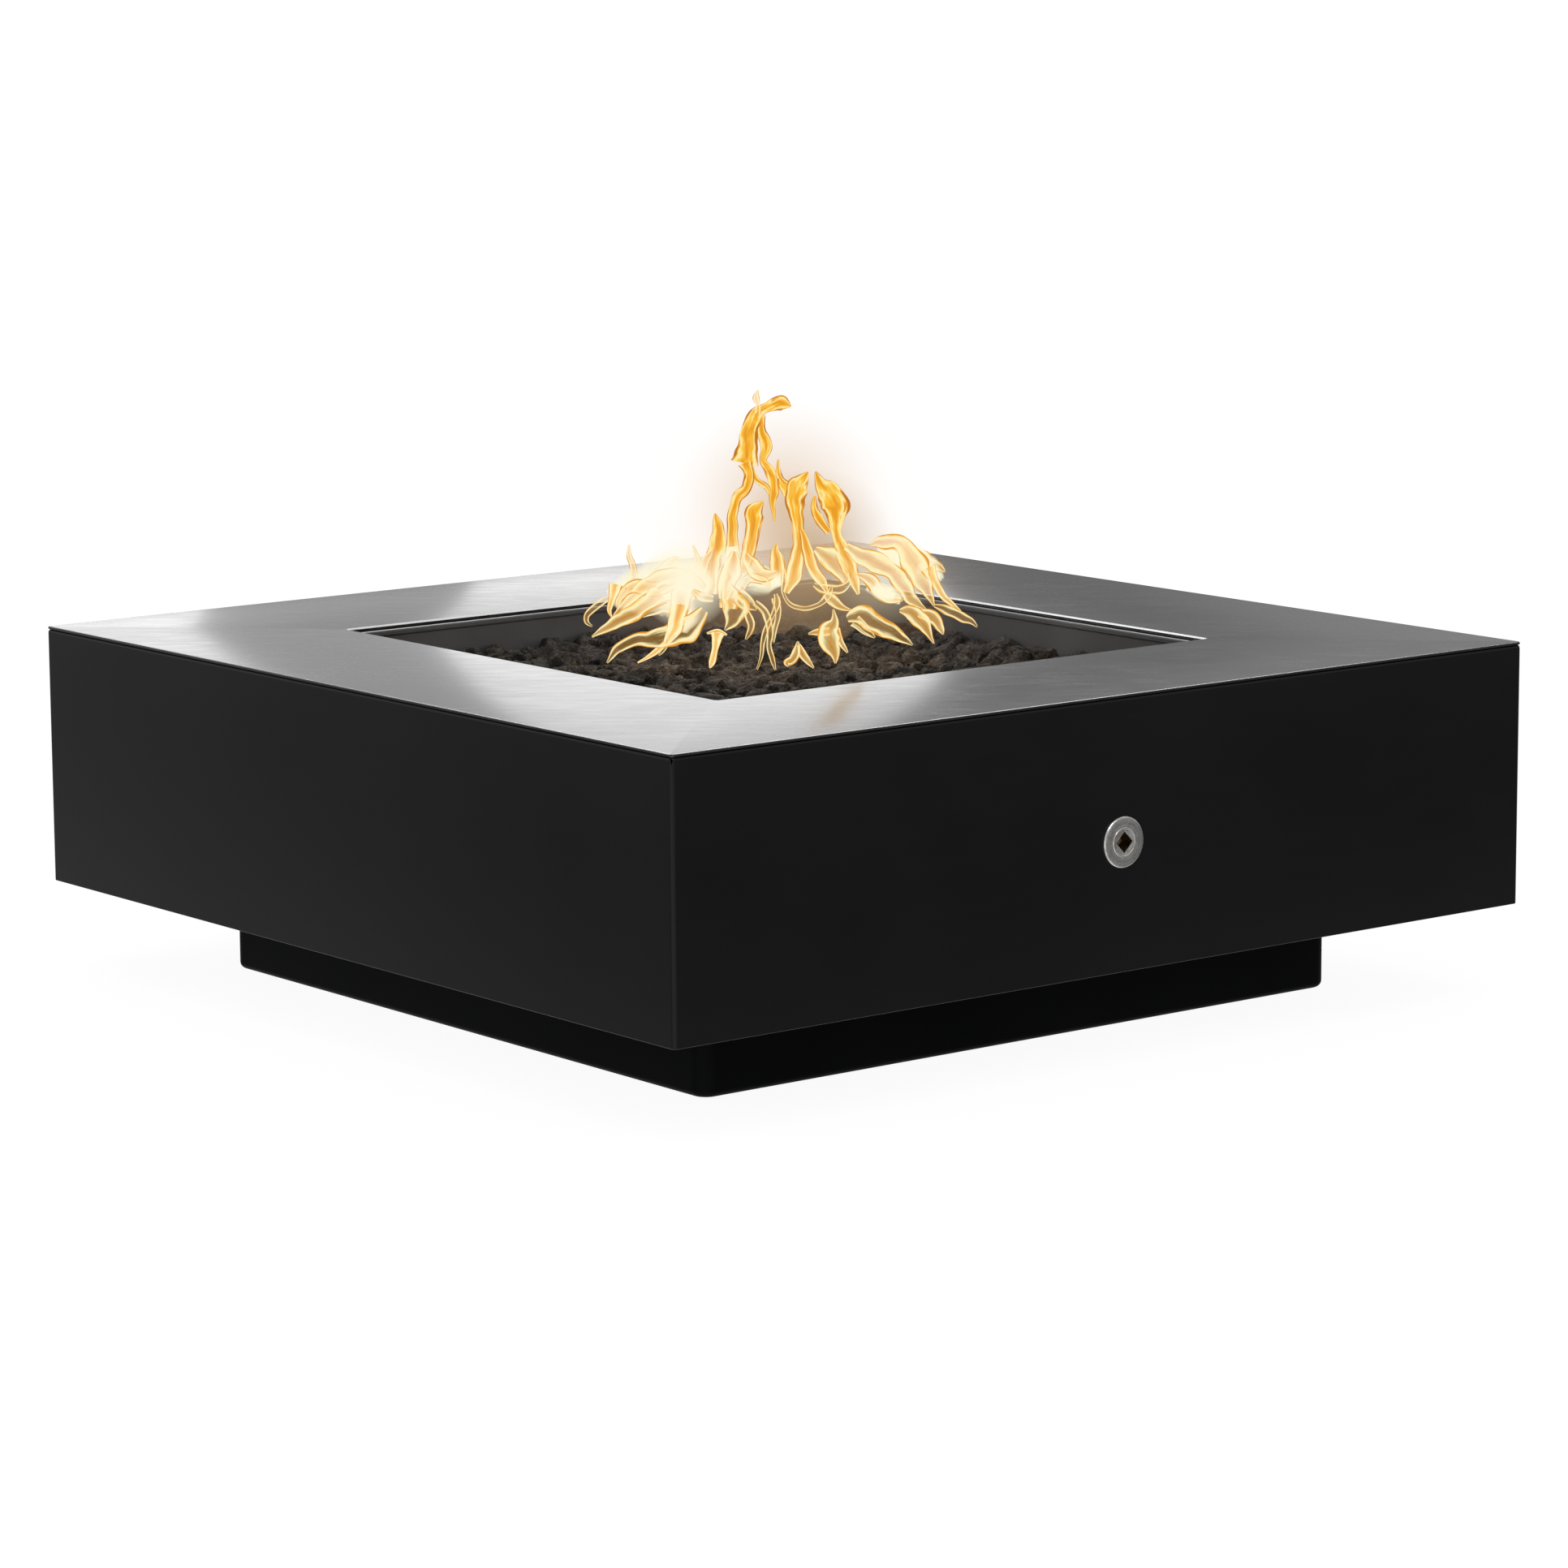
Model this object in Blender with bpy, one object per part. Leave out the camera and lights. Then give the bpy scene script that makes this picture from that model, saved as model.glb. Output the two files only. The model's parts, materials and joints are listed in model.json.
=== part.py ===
"""Square gas fire pit: a folded steel box on a recessed plinth.

A ring burner lies in a bed of lava rock in a drop-in pan, and a quarter-turn
key valve behind the front panel feeds it. Metres, +Z up, front towards -Y.
The origin is on the floor, below the middle of the whole object.
"""
import math

import bmesh
import bpy
from mathutils import Matrix, Vector

GAP = 0.0003  # left between pieces that touch

# Box
WIDTH = 1.2192
HEIGHT = 0.4064
FASCIA_DROP = 0.3048
SHEET = 0.003
CORNER_RADIUS = 0.005
SMALLEST_CORNER = 0.001
FOLD_RADIUS = 0.0045
TOP_FLANGE = 0.030
BOTTOM_FLANGE = 0.025
DECK_EDGE = 0.0015

# Opening in the deck and the frame that hangs in it
OPENING = 0.7112
OPENING_CORNER = 0.0015
LINER_SHEET = 0.0025
LINER_FLANGE = 0.025
LEDGE = 0.030

# Deck stiffeners
RIB_DEPTH = 0.040
RIB_FLANGE = 0.025
RIB_OFFSET = 0.200

# Base
PLINTH_WIDTH = 0.9144
PLINTH_CORNER = 0.020
PLINTH_FOOT_RADIUS = 0.008
PLINTH_FLANGE = 0.032
PANEL_SHEET = 0.0025
PANEL_CUTOUT = 0.320
VENT_LENGTH = 0.090
VENT_WIDTH = 0.012
BOLT_RADIUS = 0.004
BOLT_FLATS = 0.013
BOLT_HEAD = 0.0053
NUT_HEIGHT = 0.0065
BOLT_HOLE_PLAY = 0.0005

# Burner pan
PAN_PLAY = 0.0028
PAN_RIM_DROP = 0.005
PAN_DEPTH = 0.080
PAN_SHEET = 0.002
PAN_HEM = 0.0045
PAN_HEM_DEPTH = 0.006
PAN_CORNER = 0.006
WEEP_RADIUS = 0.004

# Lava rock
ROCK_DROP = 0.036
ROCK_PLAY = 0.001
ROCK_BUMP = 0.0035
ROCK_CELLS = 12
ROCK_TUNNEL = 0.002

# Burner
RING_RADIUS = 0.225
RING_TUBE = 0.0095
INNER_RING_RADIUS = 0.120
INNER_RING_TUBE = 0.008
TUBE_WALL = 0.0018
BURNER_LIFT = 0.020
PORT_RADIUS = 0.0015
RING_PORTS = 12
INNER_PORTS = 3
HUB_WALL = 0.005

# Pipework
NIPPLE_RADIUS = 0.0105
NIPPLE_BORE = 0.0078
WASHER_RADIUS = 0.020
WASHER_SHEET = 0.002
LOCKNUT_FLATS = 0.032
LOCKNUT_HEIGHT = 0.007
MIXER_RADIUS = 0.0145
MIXER_SOCKET = 0.014
MIXER_LENGTH = 0.038
AIR_HOLE_RADIUS = 0.004
FLARE_RADIUS = 0.0075
FLARE_BORE = 0.0055
FLARE_LENGTH = 0.016
FLARE_NUT_FLATS = 0.022
FLARE_NUT_LENGTH = 0.025
HOSE_RADIUS = 0.008
HOSE_STRAIGHT = 0.022
HOSE_BEND = ((0.098, 0.042, 0.145), (0.098, 0.115, 0.377), (0.078, 0.200, 0.580))
HOSE_SAG = ((0.060, 0.52, 0.696), (0.034, 0.70, 0.746))
HOSE_RISE = ((0.012, 0.082, 0.663), (0.002, 0.030, 0.541))

# Key valve, measured inwards from the face of the front panel
VALVE_DROP = 0.161
VALVE_DEPTH = 0.062
BODY_WALL = 0.0067
BODY_LEFT_END = 0.0150
BODY_RIGHT_END = 0.0073
BALL_RADIUS = 0.011
BALL_BORE = 0.0065
SEAT_THICKNESS = 0.0035
SEAT_BORE = 0.0068
CAVITY_ROOM = 0.0013
NECK_RADIUS = 0.012
NECK_FRONT = 0.026
GLAND_RADIUS = 0.0085
GLAND_DEPTH = 0.0118
GLAND_HEAD = 0.0047
GLAND_FLATS = 0.016
PACKING_HEIGHT = 0.0042
STEM_RADIUS = 0.005
STEM_SQUARE = 0.0079
STEM_TIP = 0.0075
STEM_SQUARE_END = 0.020
TANG = 0.0064
TANG_DEPTH = 0.0032
ADAPTER_RADIUS = 0.009
ADAPTER_DEPTH = 0.012
ADAPTER_FLATS = 0.024
CAP_FLATS = 0.030
FITTING_HEX = 0.010
SLEEVE_PLAY = 0.0006
SLEEVE_WALL = 0.0029
SLEEVE_OUT = 0.0012
SLEEVE_END = 0.036
SLEEVE_NUT_FLATS = 0.042
SLEEVE_NUT_HEIGHT = 0.006
ESCUTCHEON_RADIUS = 0.0285
ESCUTCHEON_RISE = 0.0036
ESCUTCHEON_EDGE = 0.0012
KEY_HOLE = 0.0168
KEY_RING_RADIUS = 0.0145
KEY_RING_DIP = 0.0006

# Derived levels and half widths
HALF = WIDTH / 2
OPEN_HALF = OPENING / 2
PLINTH_HALF = PLINTH_WIDTH / 2
BOX_BOTTOM = HEIGHT - FASCIA_DROP
DECK_BOTTOM = HEIGHT - SHEET
FLANGE_TOP = DECK_BOTTOM - GAP
PANEL_BOTTOM = BOX_BOTTOM + SHEET + GAP
PANEL_TOP = PANEL_BOTTOM + PANEL_SHEET
PLINTH_TOP = PANEL_BOTTOM - GAP
PAN_BOTTOM = HEIGHT - PAN_RIM_DROP - PAN_DEPTH
PAN_FLOOR = PAN_BOTTOM + PAN_SHEET
PAN_HALF = OPEN_HALF - PAN_PLAY
LEDGE_TOP = PAN_BOTTOM - GAP
ROCK_TOP = HEIGHT - ROCK_DROP
BURNER_Z = PAN_FLOOR + BURNER_LIFT
SEAM = GAP / math.sqrt(2)
BODY_SHIFT = ESCUTCHEON_RISE / 2
FRONT = -HALF
VALVE_Y = FRONT + VALVE_DEPTH
VALVE_HEIGHT = HEIGHT - VALVE_DROP
CAVITY_RADIUS = BALL_RADIUS + CAVITY_ROOM
SEAT_OFFSET = math.sqrt(BALL_RADIUS ** 2 - BALL_BORE ** 2) + GAP
BODY_RADIUS = CAVITY_RADIUS + BODY_WALL
BODY_LEFT = SEAT_OFFSET + SEAT_THICKNESS + BODY_LEFT_END
BODY_RIGHT = SEAT_OFFSET + SEAT_THICKNESS + BODY_RIGHT_END
SLEEVE_RADIUS = NECK_RADIUS + SLEEVE_PLAY + SLEEVE_WALL
SQRT2 = math.sqrt(2)

SIDES = ("front", "right", "back", "left")
ROUND = 24


def clear_scene():
    for item in list(bpy.data.objects):
        bpy.data.objects.remove(item, do_unlink=True)


def material(name, colour, roughness, metallic=0.0):
    made = bpy.data.materials.new(name)
    made.use_nodes = True
    shader = made.node_tree.nodes["Principled BSDF"]
    shader.inputs["Base Color"].default_value = (*colour, 1.0)
    shader.inputs["Roughness"].default_value = roughness
    shader.inputs["Metallic"].default_value = metallic
    made.diffuse_color = (*colour, 1.0)
    return made


def add_object(name, bm, finish, parent, smooth=None):
    """Close a bmesh into a named object under the given empty."""
    bmesh.ops.recalc_face_normals(bm, faces=bm.faces)
    mesh = bpy.data.meshes.new(name)
    bm.to_mesh(mesh)
    bm.free()
    if smooth is not None:
        mesh.shade_smooth()
        mesh.set_sharp_from_angle(angle=math.radians(smooth))
    mesh.materials.append(finish)
    made = bpy.data.objects.new(name, mesh)
    bpy.context.scene.collection.objects.link(made)
    made.parent = parent
    return made


def empty(name, place, parent=None):
    made = bpy.data.objects.new(name, None)
    made.location = place
    bpy.context.scene.collection.objects.link(made)
    made.parent = parent
    return made


def cut(target, cutter, operation="DIFFERENCE"):
    """Leave a Boolean on the target and hide its cutter."""
    cutter.hide_render = True
    cutter.display_type = "WIRE"
    step = target.modifiers.new(cutter.name, "BOOLEAN")
    step.operation = operation
    step.solver = "EXACT"
    step.object = cutter


def loft(loops, closed_loops, closed_chain):
    """Join point loops of equal length with quads, and cap what stays open."""
    bm = bmesh.new()
    rows = [[bm.verts.new(point) for point in loop] for loop in loops]
    count = len(rows[0])
    chain = range(len(rows)) if closed_chain else range(len(rows) - 1)
    around = range(count) if closed_loops else range(count - 1)
    for row in chain:
        near, far = rows[row], rows[(row + 1) % len(rows)]
        for spot in around:
            after = (spot + 1) % count
            bm.faces.new((near[spot], near[after], far[after], far[spot]))
    if not closed_chain:
        bm.faces.new(rows[0])
        bm.faces.new(rows[-1])
    if not closed_loops:
        bm.faces.new([row[0] for row in rows])
        bm.faces.new([row[-1] for row in rows])
    return bm


def turn_side(bm, side):
    """Turn a front piece about the middle of the pit to another side."""
    bmesh.ops.rotate(
        bm, verts=bm.verts, cent=(0, 0, 0),
        matrix=Matrix.Rotation(math.radians(90 * SIDES.index(side)), 3, "Z"))


# Flat outlines

def offset_corners(corners, distance):
    """Corners of the same path, moved to its left by a distance."""
    steps = [(Vector(b) - Vector(a)).normalized() for a, b in zip(corners, corners[1:])]
    lefts = [Vector((-step.y, step.x)) for step in steps]
    moved = [Vector(corners[0]) + distance * lefts[0]]
    for spot in range(1, len(corners) - 1):
        before, after = lefts[spot - 1], lefts[spot]
        moved.append(Vector(corners[spot]) + distance * (before + after) / (1 + before.dot(after)))
    moved.append(Vector(corners[-1]) + distance * lefts[-1])
    return moved


def rounded_path(corners, radii, steps):
    """A path through square corners with an arc of its own radius at each."""
    path = [Vector(corners[0])]
    for spot in range(1, len(corners) - 1):
        corner, radius = Vector(corners[spot]), radii[spot - 1]
        if radius <= GAP:
            path.append(corner)
            continue
        back = (Vector(corners[spot - 1]) - corner).normalized()
        ahead = (Vector(corners[spot + 1]) - corner).normalized()
        centre = corner + radius * (back + ahead)
        for step in range(steps + 1):
            angle = math.radians(90 * step / steps)
            path.append(centre - radius * (ahead * math.cos(angle) + back * math.sin(angle)))
    path.append(Vector(corners[-1]))
    return path


def folded_outline(corners, thickness, radii, steps=3):
    """Section of a folded sheet: the given face, then the other face back."""
    other_radii = []
    for spot in range(1, len(corners) - 1):
        back = Vector(corners[spot]) - Vector(corners[spot - 1])
        ahead = Vector(corners[spot + 1]) - Vector(corners[spot])
        inside = back.x * ahead.y - back.y * ahead.x > 0
        radius = radii[spot - 1]
        other_radii.append(max(radius - thickness, 0) if inside else radius + thickness)
    other = offset_corners(corners, thickness)
    return rounded_path(corners, radii, steps) + rounded_path(other, other_radii, steps)[::-1]


# Square rings: a loop is a rounded square at one height

def square_loop(half, radius, z, steps):
    points = []
    for corner in range(4):
        across = math.radians(45 + 90 * corner)
        centre = SQRT2 * (half - radius) * Vector((math.cos(across), math.sin(across)))
        for step in range(steps + 1):
            angle = math.radians(90 * corner + 90 * step / steps)
            points.append(Vector((centre.x + radius * math.cos(angle),
                                  centre.y + radius * math.sin(angle), z)))
    return points


def side_loop(half, radius, z, steps):
    """The front part of a rounded square, from mitre to mitre."""
    points = []
    for side, first in ((-1, 225), (1, 270)):
        for step in range(steps + 1):
            angle = math.radians(first + 45 * step / steps)
            points.append(Vector((side * (half - radius) + radius * math.cos(angle),
                                  radius - half + radius * math.sin(angle), z)))
    points[0].x += SEAM
    points[-1].x -= SEAM
    return points


def mitred_sides(stem, section, half, corner, steps, finish, parent):
    """Four mitred pieces with one section, given as (inset, height) points."""
    made = {}
    for side in SIDES:
        loops = [side_loop(half - inset, max(corner - inset, SMALLEST_CORNER), z, steps)
                 for inset, z in section]
        bm = loft(loops, closed_loops=False, closed_chain=True)
        turn_side(bm, side)
        made[side] = add_object(f"{stem}_{side}", bm, finish, parent, smooth=35)
    return made


# Round and many-sided pieces: a loop is a circle or a polygon about an axis

AXES = {
    "X": Matrix(((0, 0, 1), (1, 0, 0), (0, 1, 0))),
    "Y": Matrix(((1, 0, 0), (0, 0, 1), (0, -1, 0))),
    "Z": Matrix.Identity(3),
}


def circle_loop(radius, along, sides=ROUND):
    return [Vector((radius * math.cos(math.tau * spot / sides),
                    radius * math.sin(math.tau * spot / sides), along))
            for spot in range(sides)]


def polygon_loop(flats, corners, along, sides=ROUND):
    """A polygon measured across its flats, with corners on the loop's spots."""
    points = []
    part = math.tau / corners
    for spot in range(sides):
        angle = math.tau * spot / sides
        radius = flats / 2 / math.cos(angle % part - part / 2)
        points.append(Vector((radius * math.cos(angle), radius * math.sin(angle), along)))
    return points


def turned(name, loops, axis, place, finish, parent, bored=True, smooth=35):
    bm = loft(loops, closed_loops=True, closed_chain=bored)
    bmesh.ops.transform(bm, matrix=Matrix.Translation(place) @ AXES[axis].to_4x4(), verts=bm.verts)
    return add_object(name, bm, finish, parent, smooth)


def tube_loops(outer, inner, low, high, sides=ROUND):
    return [circle_loop(outer, low, sides), circle_loop(outer, high, sides),
            circle_loop(inner, high, sides), circle_loop(inner, low, sides)]


def hex_ring_loops(flats, inner, low, high, sides=ROUND):
    return [polygon_loop(flats, 6, low, sides), polygon_loop(flats, 6, high, sides),
            circle_loop(inner, high, sides), circle_loop(inner, low, sides)]


def rod_cutter(name, radius, low, high, axis, place, parent, finish, sides=ROUND):
    loops = [circle_loop(radius, low, sides), circle_loop(radius, high, sides)]
    return turned(name, loops, axis, place, finish, parent, bored=False)


def ring_bm(ring, tube, around, sides, first=0.0, sweep=math.tau, lift=0.0):
    """Tube bent about the Z axis, closed on itself or open at both ends."""
    whole = sweep >= math.tau
    spots = around if whole else around + 1
    loops = []
    for spot in range(spots):
        angle = first + sweep * spot / around
        out = Vector((math.cos(angle), math.sin(angle), 0))
        loops.append([out * (ring + tube * math.cos(math.tau * step / sides))
                      + Vector((0, 0, lift + tube * math.sin(math.tau * step / sides)))
                      for step in range(sides)])
    return loft(loops, closed_loops=True, closed_chain=whole)


def box_bm(low, high):
    bm = bmesh.new()
    bmesh.ops.create_cube(bm, size=1)
    low, high = Vector(low), Vector(high)
    bmesh.ops.scale(bm, vec=high - low, verts=bm.verts)
    bmesh.ops.translate(bm, vec=(low + high) / 2, verts=bm.verts)
    return bm


def joined(parts):
    """One bmesh from several that don't touch, for a cutter."""
    whole = bmesh.new()
    for part in parts:
        bmesh.ops.recalc_face_normals(part, faces=part.faces)
        mesh = bpy.data.meshes.new("cutter_part")
        part.to_mesh(mesh)
        part.free()
        whole.from_mesh(mesh)
        bpy.data.meshes.remove(mesh)
    return whole


# Box

def build_deck(finish, parent):
    steps = 3
    section = [(HALF, DECK_BOTTOM)]
    for middle, first in ((HALF - DECK_EDGE, 0), (OPEN_HALF + DECK_EDGE, 90)):
        for step in range(steps + 1):
            angle = math.radians(first + 90 * step / steps)
            section.append((middle + DECK_EDGE * math.cos(angle),
                            HEIGHT - DECK_EDGE + DECK_EDGE * math.sin(angle)))
    section.append((OPEN_HALF, DECK_BOTTOM))
    loops = []
    for half, z in section:
        outer = half > (HALF + OPEN_HALF) / 2
        radius = CORNER_RADIUS + half - HALF if outer else OPENING_CORNER + half - OPEN_HALF
        loops.append(square_loop(half, radius, z, steps=3))
    bm = loft(loops, closed_loops=True, closed_chain=True)
    return add_object("deck_plate", bm, finish, parent, smooth=35)


def build_fascias(finish, parent):
    face = [(TOP_FLANGE, FLANGE_TOP), (0, FLANGE_TOP), (0, BOX_BOTTOM), (BOTTOM_FLANGE, BOX_BOTTOM)]
    section = folded_outline(face, SHEET, [FOLD_RADIUS, SHEET + GAP])
    panels = mitred_sides("fascia", section, HALF, CORNER_RADIUS, 2, finish, parent)
    hole = rod_cutter("valve_hole_cutter", SLEEVE_RADIUS + GAP, -SHEET, 2 * SHEET, "Y",
                      (0, FRONT, VALVE_HEIGHT), parent, finish)
    cut(panels["front"], hole)


def build_liners(finish, parent):
    ledge = LEDGE_TOP - LINER_SHEET
    face = [(-LINER_FLANGE, FLANGE_TOP), (0, FLANGE_TOP), (0, LEDGE_TOP), (LEDGE, LEDGE_TOP)]
    under = [(-LINER_FLANGE, FLANGE_TOP - LINER_SHEET), (-LINER_SHEET, FLANGE_TOP - LINER_SHEET),
             (-LINER_SHEET, ledge), (LEDGE, ledge)]
    mitred_sides("opening_liner", face + under[::-1], OPEN_HALF, OPENING_CORNER, 1, finish, parent)


def build_ribs(finish, parent):
    outer = FRONT + TOP_FLANGE + GAP
    inner = -OPEN_HALF - LINER_FLANGE - GAP
    for side in SIDES:
        for hand, sign in (("left", -1), ("right", 1)):
            section = [(0, 0), (RIB_FLANGE, 0), (RIB_FLANGE, -SHEET), (SHEET, -SHEET),
                       (SHEET, -RIB_DEPTH), (0, -RIB_DEPTH)]
            loops = [[Vector((sign * (RIB_OFFSET + x), y, FLANGE_TOP + z)) for x, z in section]
                     for y in (outer, inner)]
            bm = loft(loops, closed_loops=True, closed_chain=False)
            turn_side(bm, side)
            add_object(f"deck_rib_{side}_{hand}", bm, finish, parent)


# Base

def bolt_spots():
    reach = PLINTH_HALF - PLINTH_FLANGE / 2 - SHEET
    return [(side, Matrix.Rotation(math.radians(90 * turn), 3, "Z") @ Vector((0, -reach, 0)))
            for turn, side in enumerate(SIDES)]


def build_underside(finish, parent):
    half = HALF - SHEET - GAP
    hole = PANEL_CUTOUT / 2
    loops = [square_loop(size, CORNER_RADIUS, z, steps=1)
             for size, z in ((half, PANEL_BOTTOM), (half, PANEL_TOP),
                             (hole, PANEL_TOP), (hole, PANEL_BOTTOM))]
    bm = loft(loops, closed_loops=True, closed_chain=True)
    panel = add_object("underside_panel", bm, finish, parent)
    vents = []
    middle = (PLINTH_HALF + hole) / 2
    for side in SIDES:
        for sign in (-1, 1):
            centre = sign * VENT_LENGTH
            slot = box_bm((centre - VENT_LENGTH / 2, -middle - VENT_WIDTH / 2, PANEL_BOTTOM - SHEET),
                          (centre + VENT_LENGTH / 2, -middle + VENT_WIDTH / 2, PANEL_TOP + SHEET))
            turn_side(slot, side)
            vents.append(slot)
    cut(panel, add_object("vent_cutter", joined(vents), finish, parent))
    return panel


def build_plinth(finish, parent):
    face = [(PLINTH_FLANGE, PLINTH_TOP), (0, PLINTH_TOP), (0, 0), (PLINTH_FLANGE, 0)]
    section = folded_outline(face, SHEET, [FOLD_RADIUS, PLINTH_FOOT_RADIUS])
    return mitred_sides("plinth", section, PLINTH_HALF, PLINTH_CORNER, 3, finish, parent)


def build_bolts(panel, plinth, finish, parent):
    """Bolts drop through the panel and the plinth flange into nuts below."""
    sides = 12
    flange_bottom = PLINTH_TOP - SHEET
    nut_top = flange_bottom - GAP
    nut_bottom = nut_top - NUT_HEIGHT
    head = PANEL_TOP + GAP
    hole = BOLT_RADIUS + BOLT_HOLE_PLAY
    for side, spot in bolt_spots():
        loops = [polygon_loop(BOLT_FLATS, 6, head + BOLT_HEAD, sides),
                 polygon_loop(BOLT_FLATS, 6, head, sides),
                 circle_loop(BOLT_RADIUS, head, sides),
                 circle_loop(BOLT_RADIUS, nut_bottom - BOLT_RADIUS / 2, sides)]
        turned(f"plinth_bolt_{side}", loops, "Z", spot, finish, parent, bored=False)
        ring = hex_ring_loops(BOLT_FLATS, BOLT_RADIUS + GAP, nut_bottom, nut_top, sides)
        turned(f"plinth_nut_{side}", ring, "Z", spot, finish, parent)
        drill = rod_cutter(f"{side}_drill", hole, flange_bottom - SHEET, head + SHEET, "Z",
                           spot, parent, finish, sides)
        cut(plinth[side], drill)
        cut(panel, drill)


# Pan, rocks and burner

def build_pan(finish, parent):
    """Open tray with a rolled hem inside its rim."""
    rim = HEIGHT - PAN_RIM_DROP
    roll = PAN_HEM / 2
    inner = PAN_HALF - PAN_SHEET
    hem_inner = PAN_HALF - PAN_HEM
    section = [(PAN_HALF, PAN_BOTTOM, PAN_CORNER), (PAN_HALF, rim - roll, PAN_CORNER)]
    for step in range(1, 4):
        angle = math.radians(45 * step)
        section.append((PAN_HALF - roll + roll * math.cos(angle), rim - roll + roll * math.sin(angle),
                        PAN_CORNER))
    section += [(hem_inner, rim - roll, PAN_CORNER),
                (hem_inner, rim - PAN_HEM_DEPTH, PAN_CORNER),
                (inner, rim - PAN_HEM_DEPTH - (PAN_HEM - PAN_SHEET), PAN_CORNER),
                (inner, PAN_FLOOR, PAN_CORNER)]
    loops = [square_loop(half, radius + half - PAN_HALF, z, steps=2) for half, z, radius in section]
    bm = loft(loops, closed_loops=True, closed_chain=False)
    pan = add_object("burner_pan", bm, finish, parent, smooth=50)
    cut(pan, rod_cutter("pan_hole_cutter", NIPPLE_RADIUS + GAP, PAN_BOTTOM - PAN_SHEET,
                        PAN_FLOOR + PAN_SHEET, "Z", (0, 0, 0), parent, finish))
    weeps = []
    for x_side in (-1, 1):
        for y_side in (-1, 1):
            spot = Vector((x_side, y_side, 0)) * (RING_RADIUS + OPEN_HALF) / 2
            loops = [circle_loop(WEEP_RADIUS, z, 8) for z in (PAN_BOTTOM - PAN_SHEET,
                                                              PAN_FLOOR + PAN_SHEET)]
            hole = loft(loops, closed_loops=True, closed_chain=False)
            bmesh.ops.translate(hole, vec=spot, verts=hole.verts)
            weeps.append(hole)
    cut(pan, add_object("weep_cutter", joined(weeps), finish, parent))


def build_rocks(finish, parent):
    """Bed of rock with tunnels where the burner lies in it."""
    half = PAN_HALF - PAN_HEM - ROCK_PLAY
    bottom = PAN_FLOOR + GAP
    bm = bmesh.new()
    bmesh.ops.create_grid(bm, x_segments=ROCK_CELLS, y_segments=ROCK_CELLS, size=half)
    for vert in bm.verts:
        across, along = vert.co.x / half, vert.co.y / half
        ripple = math.sin(17 * across + 3 * along) * math.cos(13 * along - 2 * across)
        vert.co.z = ROCK_TOP + ROCK_BUMP * ripple
    raised = bmesh.ops.extrude_face_region(bm, geom=bm.faces[:])
    for item in raised["geom"]:
        if isinstance(item, bmesh.types.BMVert):
            item.co.z = bottom
    base = [face for face in bm.faces if all(abs(vert.co.z - bottom) < GAP for vert in face.verts)]
    bmesh.ops.dissolve_faces(bm, faces=base)
    bmesh.ops.recalc_face_normals(bm, faces=bm.faces)
    bed = add_object("lava_rock_bed", bm, finish, parent)
    room = ROCK_TUNNEL
    cut(bed, rod_cutter("hub_room_cutter", NIPPLE_RADIUS + HUB_WALL + room, bottom - PAN_SHEET,
                        BURNER_Z, "Z", (0, 0, 0), parent, finish))
    cut(bed, rod_cutter("bar_room_cutter", RING_TUBE + room, -RING_RADIUS, RING_RADIUS, "X",
                        (0, 0, BURNER_Z), parent, finish, sides=8))
    for stem, ring, tube, around in (("ring", RING_RADIUS, RING_TUBE, 24),
                                     ("inner_ring", INNER_RING_RADIUS, INNER_RING_TUBE, 16)):
        tunnel = ring_bm(ring, tube + 2 * room, around, 6, lift=BURNER_Z)
        cut(bed, add_object(f"{stem}_room_cutter", tunnel, finish, parent))


def port_cutter(name, ring, angles, finish, parent):
    ports = []
    for angle in angles:
        loops = [circle_loop(PORT_RADIUS, z, 6) for z in (BURNER_Z, BURNER_Z + 2 * RING_TUBE)]
        port = loft(loops, closed_loops=True, closed_chain=False)
        bmesh.ops.translate(port, vec=(ring * math.cos(angle), ring * math.sin(angle), 0),
                            verts=port.verts)
        ports.append(port)
    return add_object(name, joined(ports), finish, parent)


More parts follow.
